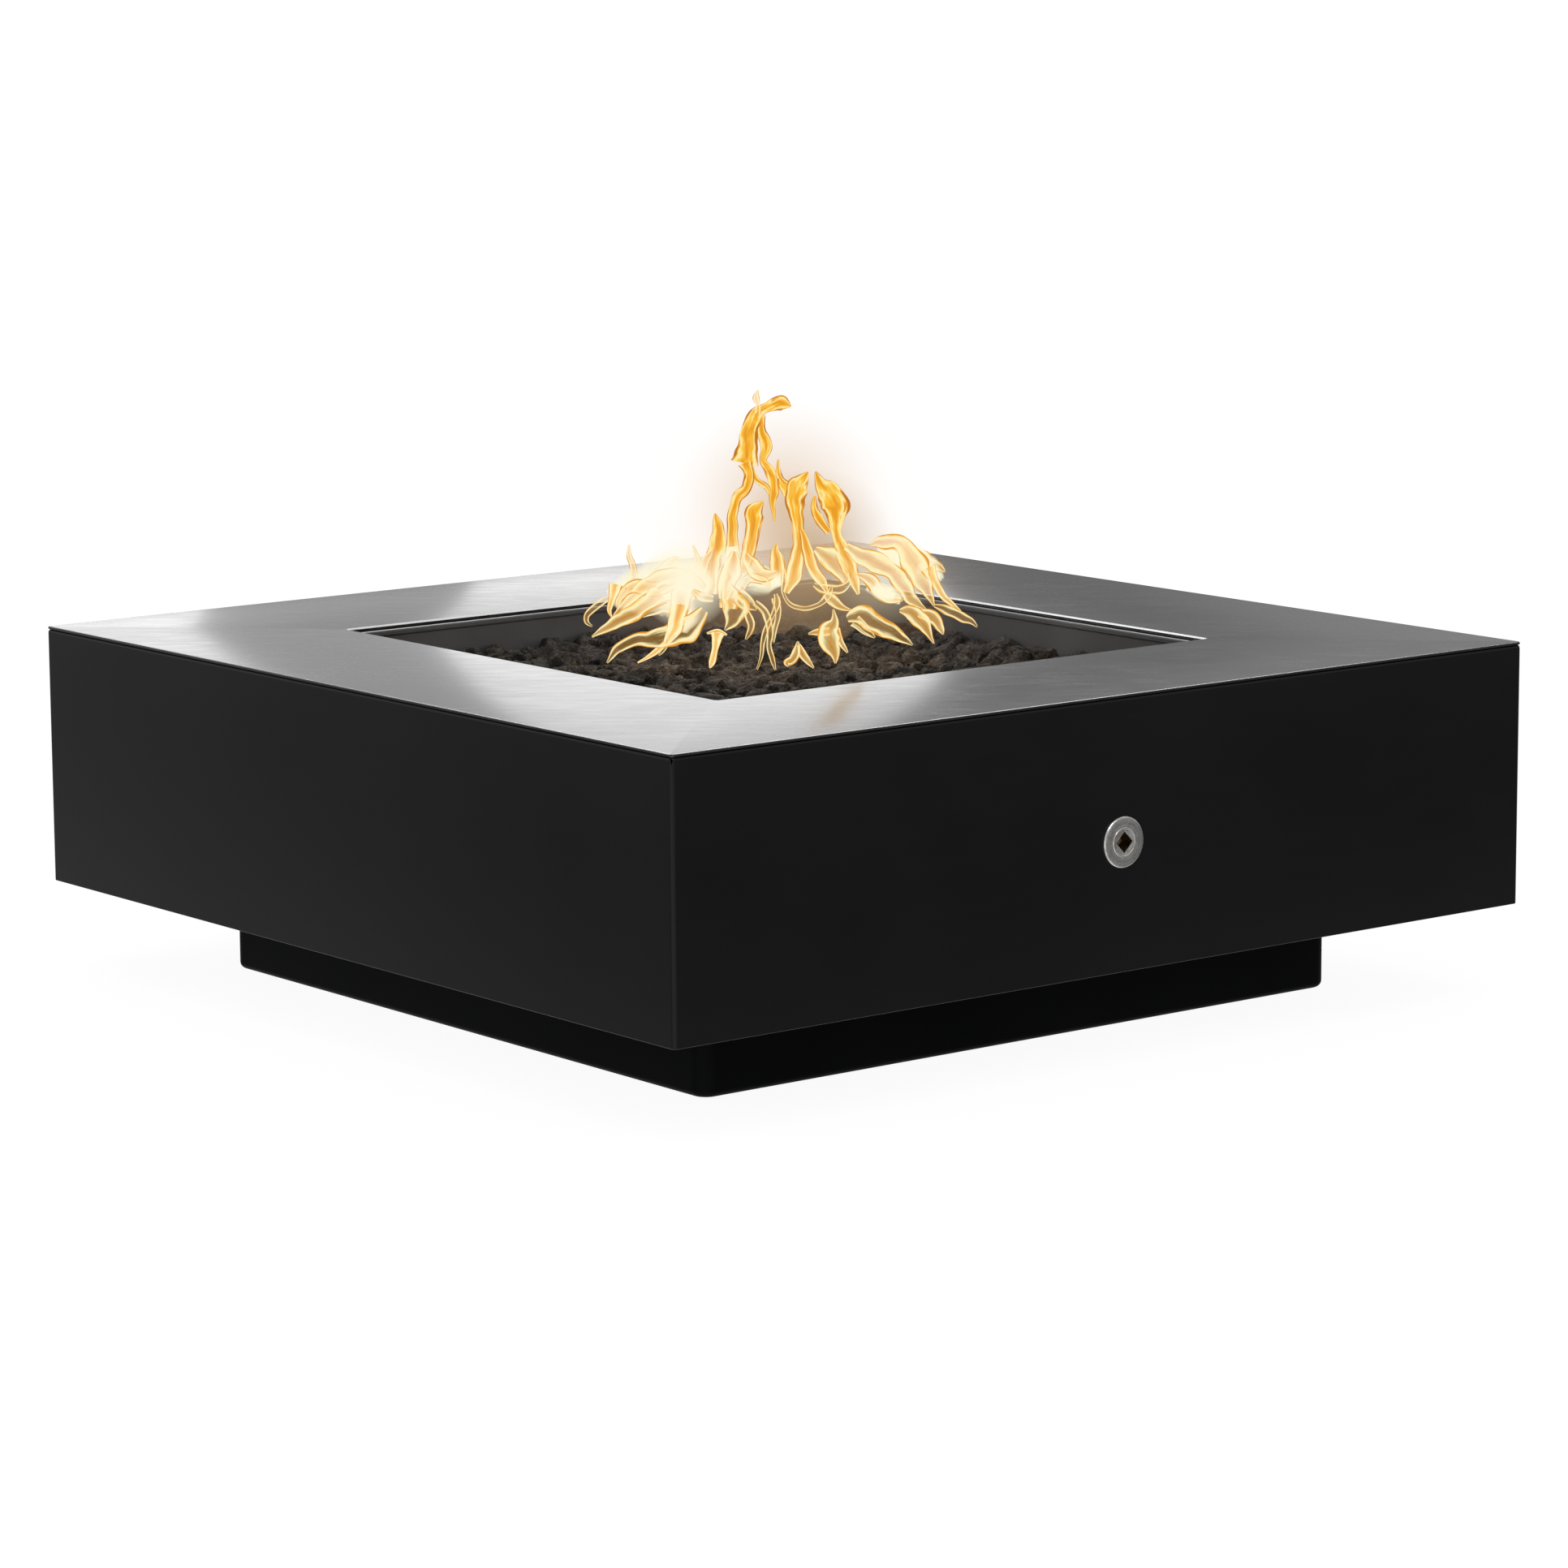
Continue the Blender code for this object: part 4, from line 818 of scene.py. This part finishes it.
# each sheet: kind, distance behind the middle, then (across, up, half width) from base to tip, in mm
mirroredFlame = 10  # the one flame whose reflection shows in the near deck
flameKinds = {  # heat, cover of the middle, softness
    "full": (0.0, 0.94, 0), "clear": (0.62, 0.12, 0), "pale": (0.80, 0.36, 0),
    "white": (1.0, 0.88, 0), "haze": (1.0, 0.92, 1)}
flameSheets = [
    ("full", 0, ((-50, 30, 10), (-46, 70, 10), (-46, 110, 7), (-45, 140, 6), (-40, 158, 6), (-29, 170, 6),
     (-26, 186, 6), (-30, 199, 9))),
    ("full", 0, ((-31, 199, 16), (-29, 208, 13), (-26, 225, 11), (-24, 240, 10), (-18, 254, 8),
     (-8, 262, 6), (4, 268, 9), (13, 269, 9), (23, 265, 1))),
    ("pale", 0, ((-16, 255, 4), (-15, 266, 3), (-17, 275, 4), (-15, 284, 1))),
    ("full", 20, ((-12, 256, 5), (-12, 238, 6), (-6, 220, 7), (-10, 203, 4), (-2, 190, 6), (3, 174, 6),
     (1, 155, 4), (3, 132, 1))),
    ("full", 20, ((-24, 196, 3), (-18, 182, 3), (-6, 172, 3), (-2, 160, 1))),
    ("full", -20, ((-34, 70, 6), (-26, 98, 8), (-22, 125, 10), (-20, 141, 10), (-10, 153, 1))),
    ("full", 30, ((-72, 48, 7), (-70, 80, 9), (-63, 106, 10), (-63, 126, 7), (-66, 142, 1))),
    ("full", 0, ((16, 48, 4), (25, 70, 9), (31, 100, 8), (30, 128, 7), (27, 150, 10), (29, 168, 13),
     (35, 178, 8), (42, 188, 1))),
    ("full", 10, ((26, 155, 8), (19, 170, 8), (11, 180, 5), (8, 190, 3), (8, 203, 1))),
    ("full", -10, ((34, 120, 3), (40, 98, 6), (47, 78, 7), (58, 60, 5), (64, 46, 1))),
    ("full", 10, ((100, 46, 2), (94, 66, 8), (86, 84, 9), (78, 104, 8), (74, 120, 6), (74, 136, 12),
     (73, 150, 16), (66, 165, 14), (57, 176, 8), (51, 190, 1))),
    ("full", 20, ((68, 150, 10), (72, 162, 8), (74, 174, 1))),
    ("full", 0, ((50, 160, 1), (49, 148, 4), (54, 134, 6), (66, 118, 4))),
    ("pale", 20, ((113, 104, 1), (124, 107, 7), (140, 107, 9), (154, 100, 10), (165, 84, 14), (173, 64, 12),
     (181, 48, 7), (188, 32, 1))),
    ("pale", 30, ((160, 95, 6), (176, 87, 10), (192, 78, 6), (201, 72, 1))),
    ("full", 20, ((180, 76, 9), (189, 59, 5), (198, 45, 4), (209, 34, 3), (220, 24, 1))),
    ("pale", 0, ((50, 98, 4), (62, 90, 12), (78, 76, 13), (86, 60, 6))),
    ("pale", 0, ((86, 102, 5), (102, 90, 10), (122, 82, 12), (140, 70, 10), (152, 55, 10), (162, 40, 7),
     (178, 28, 1))),
    ("pale", -20, ((96, 68, 1), (112, 62, 8), (124, 48, 8), (138, 40, 6), (151, 37, 1))),
    ("pale", -60, ((146, 24, 2), (158, 22, 9), (171, 12, 9), (179, 0, 5), (186, -14, 1))),
    ("pale", -50, ((168, 22, 5), (184, 18, 8), (193, 4, 5), (196, -4, 1))),
    ("clear", -40, ((187, 31, 2), (200, 26, 6), (216, 18, 6), (228, 12, 4), (236, 5, 1))),
    ("clear", -70, ((86, 14, 4), (100, 18, 12), (120, 9, 12), (140, -2, 8), (153, -10, 5), (161, -16, 1))),
    ("clear", -70, ((94, 12, 8), (106, 2, 6), (118, -7, 1))),
    ("pale", -80, ((70, 26, 1), (71, 12, 5), (65, 0, 12), (66, -12, 12), (71, -26, 6), (72, -37, 1))),
    ("pale", -80, ((41, -3, 1), (53, -1, 5), (66, 1, 6))),
    ("pale", -80, ((74, 4, 4), (78, -12, 4), (86, -25, 1))),
    ("pale", -100, ((29, -12, 1), (28, -22, 5), (23, -32, 5), (16, -36, 4), (18, -41, 1))),
    ("pale", -100, ((30, -16, 2), (34, -26, 5), (40, -34, 4), (47, -43, 1))),
    ("clear", -80, ((4, 44, 2), (6, 34, 4), (1, 20, 3), (-6, 6, 3), (-11, -12, 3), (-13, -30, 2),
     (-18, -44, 1))),
    ("clear", -80, ((-20, 34, 4), (-8, 22, 4), (-3, 2, 4), (-4, -16, 3), (0, -32, 3), (3, -44, 1))),
    ("clear", -70, ((4, 40, 5), (7, 22, 4), (3, 4, 3), (1, -12, 1))),
    ("white", -90, ((-63, -1, 9), (-64, -8, 6), (-66, -20, 4), (-69, -34, 4), (-72, -42, 1))),
    ("white", -90, ((-75, -2, 1), (-63, 1, 3), (-52, -4, 1))),
    ("clear", -50, ((-52, 56, 6), (-47, 42, 12), (-42, 28, 15), (-47, 13, 8), (-55, 3, 1))),
    ("clear", -50, ((-40, 44, 8), (-28, 34, 8), (-18, 26, 1))),
    ("clear", -50, ((-30, 24, 4), (-25, 12, 5), (-26, 2, 4), (-31, -8, 1))),
    ("haze", 0, ((-188, 40, 14), (-172, 48, 24), (-148, 54, 30), (-118, 60, 34), (-92, 60, 28),
     (-72, 48, 10))),
    ("haze", -10, ((-120, 70, 14), (-110, 44, 26), (-104, 20, 22), (-108, 2, 12))),
    ("haze", 0, ((-48, 110, 6), (-46, 84, 16), (-48, 62, 20), (-50, 40, 12))),
    ("haze", 10, ((-24, 86, 8), (-16, 66, 18), (0, 64, 16), (12, 60, 6))),
    ("haze", 30, ((120, 96, 8), (150, 90, 20), (176, 76, 20), (196, 60, 8))),
    ("haze", -10, ((110, 56, 6), (130, 46, 11), (150, 38, 6))),
    ("pale", -20, ((-78, 52, 4), (-96, 66, 8), (-124, 66, 10), (-150, 52, 8), (-172, 34, 5),
     (-186, 18, 1))),
    ("pale", -30, ((-110, 60, 6), (-136, 52, 10), (-160, 56, 8), (-176, 42, 4), (-178, 28, 1))),
    ("clear", -20, ((-90, 46, 4), (-108, 34, 8), (-130, 30, 6), (-150, 20, 1))),
    ("white", -30, ((-180, 58, 8), (-184, 42, 5), (-188, 28, 3), (-186, 20, 1))),
    ("pale", -40, ((-128, 46, 12), (-152, 30, 10), (-172, 18, 9), (-192, 6, 5), (-208, -4, 1))),
    ("clear", -30, ((-184, 44, 3), (-200, 36, 4), (-213, 24, 4), (-214, 14, 3), (-208, 9, 1))),
    ("clear", -70, ((-78, 26, 6), (-94, 8, 14), (-114, -2, 15), (-138, -7, 11), (-160, -9, 7),
     (-178, -19, 5), (-190, -35, 1))),
    ("white", -50, ((-104, 50, 12), (-106, 28, 11), (-112, 6, 9), (-124, -12, 4), (-138, -24, 3),
     (-156, -34, 1))),
    ("clear", -60, ((-118, -2, 5), (-124, -16, 3), (-131, -26, 1))),
    ("pale", -10, ((-162, 52, 8), (-161, 70, 5), (-162, 82, 4), (-165, 92, 3), (-165, 104, 1))),
    ("pale", 0, ((-140, 62, 8), (-124, 76, 9), (-113, 86, 5), (-106, 88, 1))),
    ("pale", 0, ((-92, 52, 8), (-90, 72, 6), (-87, 86, 4), (-91, 104, 1))),
    ("full", 10, ((-84, 52, 6), (-82, 70, 7), (-76, 88, 5), (-70, 98, 1))),
    ("white", -20, ((-56, 40, 6), (-52, 60, 11), (-46, 78, 11), (-44, 96, 3))),
    ("pale", -20, ((-32, 100, 1), (-28, 86, 7), (-16, 70, 10), (-4, 68, 7), (6, 72, 1))),
    ("clear", -30, ((-36, 52, 5), (-26, 64, 6), (-10, 60, 5), (-2, 50, 1))),
    ("pale", -50, ((-68, 40, 4), (-82, 42, 5), (-94, 52, 1))),
    ("clear", -40, ((13, 74, 2), (14, 58, 4), (13, 46, 2), (20, 34, 3), (36, 28, 3), (54, 32, 3),
     (64, 42, 4), (69, 54, 1))),
    ("pale", -50, ((60, 44, 2), (68, 38, 6), (80, 29, 4), (91, 25, 1))),
    ("clear", -30, ((48, 56, 3), (60, 50, 6), (76, 50, 6), (88, 58, 3), (88, 68, 1))),
    ("full", 30, ((6, 58, 6), (6, 80, 9), (4, 96, 6), (6, 106, 1))),
]


def buildFlames():
    flame = {"seed": 11, "steps": 9, "sides": 16, "depth": 0.34, "thinnest": 0.0006, "curl": 0.012,
             "twist": 5.0, "ripple": 0.20, "rippleScale": 70, "sway": 0.22, "rimPower": 1.5,
             "hotBelow": 0.135, "hotRise": 11.0, "hotClear": 0.30, "fade": 8, "laneStep": 0.07}
    finish = flameMaterial()
    rng = np.random.default_rng(flame["seed"])
    made = []
    for number, (kind, away, spine) in enumerate(flameSheets):
        route = smoothRoute([Vector([size / 1000 for size in point]) for point in spine], flame["steps"])
        phase = rng.uniform(0, math.tau)
        heat, full, soft = flameKinds[kind]
        loops, rims, heats, covers, lanes = [], [], [], [], []
        for spot, (across, up, wide) in enumerate(route):
            part = spot / (len(route) - 1)
            before, after = route[max(spot - 1, 0)], route[min(spot + 1, len(route) - 1)]
            along = Vector((after.x - before.x, after.y - before.y)).normalized()
            here = Vector((across * flame["rippleScale"], up * flame["rippleScale"], number * 3.7))
            wide = max(wide, flame["thinnest"]) * (1 + flame["ripple"] * noise.noise(here))
            shift = wide * flame["sway"] * noise.noise(here + Vector((9, 5, 0)))
            deepMiddle = away / 1000 + flame["curl"] * math.sin(phase + flame["twist"] * part)
            low = max(0.0, flame["hotBelow"] - up) * flame["hotRise"]
            warm = min(1.0, heat + low) if kind == "full" else heat
            cover = full - flame["hotClear"] * warm if kind == "full" else full
            ends = max(0.0, 1 - flame["fade"] * part) if soft else 0
            tips = max(0.0, flame["fade"] * part - flame["fade"] + 1) if soft else 0
            loop = []
            for step in range(flame["sides"]):
                angle = math.tau * step / flame["sides"]
                side = shift + wide * math.cos(angle)
                deep = deepMiddle + flame["depth"] * wide * math.sin(angle)
                x, z = across + side * along.y, up - side * along.x
                loop.append(fromMiddle(x, deep, z - deep * downSlope))
                rims.append(max(abs(math.cos(angle)) ** flame["rimPower"], ends, tips))
                heats.append(warm)
                covers.append(cover)
                lanes += [2.0 * math.cos(angle) + 0.4 * math.sin(angle), flame["laneStep"] * spot,
                          7.0 * number]
            loops.append(loop)
        piece = addPiece(f"flame{number + 1}", loft(loops, closedChain=False), finish, body=None, smooth=80)
        shades = {"rim": rims, "warmth": heats, "full": covers, "soft": [soft] * len(rims)}
        for name, values in shades.items():
            piece.data.attributes.new(name, "FLOAT", "POINT").data.foreach_set("value", values)
        piece.data.attributes.new("lane", "FLOAT_VECTOR", "POINT").data.foreach_set("vector", lanes)
        made.append(piece)
    return made


# painted glows of the fire's light: flat discs that give light of their own, with no lamp in them
# at is (across, behind the middle, above the deck)
halos = {
    "paintedGlowNear": {"at": (0.014, 0.06, 0.141), "radius": 0.130, "colour": (0.66, 0.42, 0.20),
                    "strength": 0.62, "fall": 1.3},
    "paintedGlowLow": {"at": (0.050, 0.10, 0.079), "radius": 0.105, "colour": (0.44, 0.31, 0.17),
                   "strength": 0.85, "fall": 1.2},
    "paintedWhiteGlow": {"at": (-0.100, -0.06, 0.068), "radius": 0.054, "colour": (1.0, 0.93, 0.70),
                 "strength": 1.15, "fall": 0.9},
    "paintedWhiteGlowMiddle": {"at": (-0.044, -0.06, 0.074), "radius": 0.034, "colour": (1.0, 0.93, 0.70),
                       "strength": 0.90, "fall": 1.1},
    "paintedPaleGlowRight": {"at": (0.128, 0.03, 0.062), "radius": 0.062, "colour": (1.0, 0.86, 0.56),
                  "strength": 0.38, "fall": 1.2},
    "paintedGlowWide": {"at": (0.010, 0.29, 0.060), "radius": 0.300, "colour": (0.95, 0.60, 0.32),
                    "strength": 0.30, "fall": 2.0},
}


def buildHalos():
    made = []
    for name, look in halos.items():
        bm = bmesh.new()
        bmesh.ops.create_circle(bm, cap_ends=True, segments=64, radius=look["radius"])
        piece = addPiece(name, bm, haloMaterial(name, look), body=None, smooth=0)
        piece.location = fromMiddle(*look["at"])
        piece.rotation_euler = awayWay.to_track_quat("Z", "Y").to_euler()
        made.append(piece)
    return made


fire = buildFlames()
# the discs of painted glow round the fire
paintedGlow = buildHalos()
for piece in (*fire, *paintedGlow):
    piece.visible_shadow = False
    piece.visible_diffuse = False
    piece.visible_glossy = piece == fire[mirroredFlame]
print("fire built:", len(fire), "sheets")


# Floor, light and world

def buildFloor():
    stand = {"radius": 120, "gap": 0.0005, "glow": 1.12, "shadowShare": 0.16}
    made, board = newMaterial("paleFloor")
    cloud = board.noise(board.place(), 2.0, 2.0)
    tone = board.mixed(cloud, paint(0.90, 0.90, 0.90), paint(0.92, 0.92, 0.92))
    lit = board.node("Emission", None, {"Color": paint(1, 1, 1), "Strength": stand["glow"]})
    plain = board.node("BsdfDiffuse", None, {"Color": tone})
    board.surface(board.node("MixShader", None, {0: stand["shadowShare"], 1: lit, 2: plain}))
    bm = bmesh.new()
    bmesh.ops.create_circle(bm, cap_ends=True, segments=96, radius=stand["radius"])
    bmesh.ops.translate(bm, vec=(0, 0, plinthLow.z - stand["gap"]), verts=bm.verts)
    floor = addPiece("floor", bm, made, body=None, smooth=0)
    floor.visible_diffuse = False
    floor.visible_glossy = False
    floor.visible_shadow = False


def buildWorld():
    # soft studio light: grey above, and low down brighter on the left than on the right
    studio = {"top": 0.62, "ground": [(0.0, 0.095), (0.25, 0.85), (0.70, 0.85), (1.0, 0.07)],
              "low": [(0.16, 0.66), (0.34, 0.58), (0.58, 0.23), (0.67, 0.19), (0.75, 0.34), (0.86, 0.40)]}
    world = bpy.data.worlds.new("studio")
    bpy.context.scene.world = world
    board = Board(world)
    way = board.node("TexCoord", out=0)
    height, across = (board.vector("DOT_PRODUCT", way, direction, out=1)
                      for direction in ((0, 0, 1), tuple(acrossWay)))
    low, ground = (board.node("ValToRGB", {"stops": [(spot, (v, v, v)) for spot, v in stops]},
                              {"Fac": board.spread(across, -reach, reach)})
                   for stops, reach in ((studio["low"], 0.2), (studio["ground"], 1.0)))
    sky = board.mixed(board.spread(height, 0.16, 0.60), low, paint(*[studio["top"]] * 3))
    light = board.mixed(board.spread(height, -0.02, 0.02), ground, sky)
    seen = board.node("LightPath", out=0)  # the camera sees plain white
    colour = board.mixed(seen, light, paint(1, 1, 1))
    lit = board.node("Background", None, {"Color": colour})
    board.node("OutputWorld", None, {"Surface": lit})


def areaLight(name, look):
    data = bpy.data.lights.new(name, "AREA")
    data.shape = "RECTANGLE"
    data.size, data.size_y = look["size"]
    data.energy = look["radiance"] * math.pi * data.size * data.size_y
    made = bpy.data.objects.new(name, data)
    made.location = fromMiddle(*look["place"])
    aim = fromMiddle(*look["aim"]) - made.location
    made.rotation_euler = aim.to_track_quat("-Z", "Y").to_euler()
    made.visible_camera = False
    made.visible_diffuse = look["diffuse"]
    collection.objects.link(made)


# place and aim are (across, behind the middle, above the deck)
panels = {
    "backPanel": {"size": (0.80, 1.5), "radiance": 1.15, "diffuse": False,
                  "place": (-0.14, 3.0, 0.78), "aim": (-0.14, 0.0, 0.78)},
    "backLeftPanel": {"size": (1.0, 1.5), "radiance": 1.3, "diffuse": False,
                      "place": (-1.50, 3.0, 0.78), "aim": (-0.8, 0.0, 0.78)},
    "topPanel": {"size": (4.6, 1.6), "radiance": 10.0, "diffuse": False,
                 "place": (-0.1, 1.60, 2.45), "aim": (-0.1, 0.2, 0.0)},
    "frontTopPanel": {"size": (0.9, 0.9), "radiance": 9.0, "diffuse": False,
                      "place": (0.79, -2.38, 2.1), "aim": (0.3, -0.4, -0.1)},
    "leftPanel": {"size": (1.0, 0.8), "radiance": 0.45, "diffuse": True,
                  "place": (-1.27, -1.95, -0.30), "aim": (-0.5, -0.4, -0.2)},
}


def fireLights():
    glow = {"colour": (1.0, 0.75, 0.50), "softness": 0.03}
    # (across, behind, above the deck, watts)
    spots = ((-0.14, -0.02, 0.035, 0.22), (-0.05, -0.02, 0.045, 0.24), (0.06, 0.00, 0.045, 0.22),
             (0.15, 0.02, 0.04, 0.18), (0.0, -0.14, 0.02, 0.10), (0.0, 0.16, 0.04, 0.16))
    for number, (across, away, up, watts) in enumerate(spots):
        data = bpy.data.lights.new(f"fireGlow{number + 1}", "POINT")
        data.energy = watts
        data.color = glow["colour"]
        data.shadow_soft_size = glow["softness"]
        made = bpy.data.objects.new(data.name, data)
        made.location = fromMiddle(across, away, up)
        made.visible_camera = False
        made.visible_glossy = False
        collection.objects.link(made)


buildFloor()
buildWorld()
for panelName, panel in panels.items():
    areaLight(panelName, panel)
fireLights()
bpy.context.scene.view_settings.view_transform = "Standard"
bpy.context.scene.cycles.transparent_max_bounces = 48
print("floor, lights and world set")
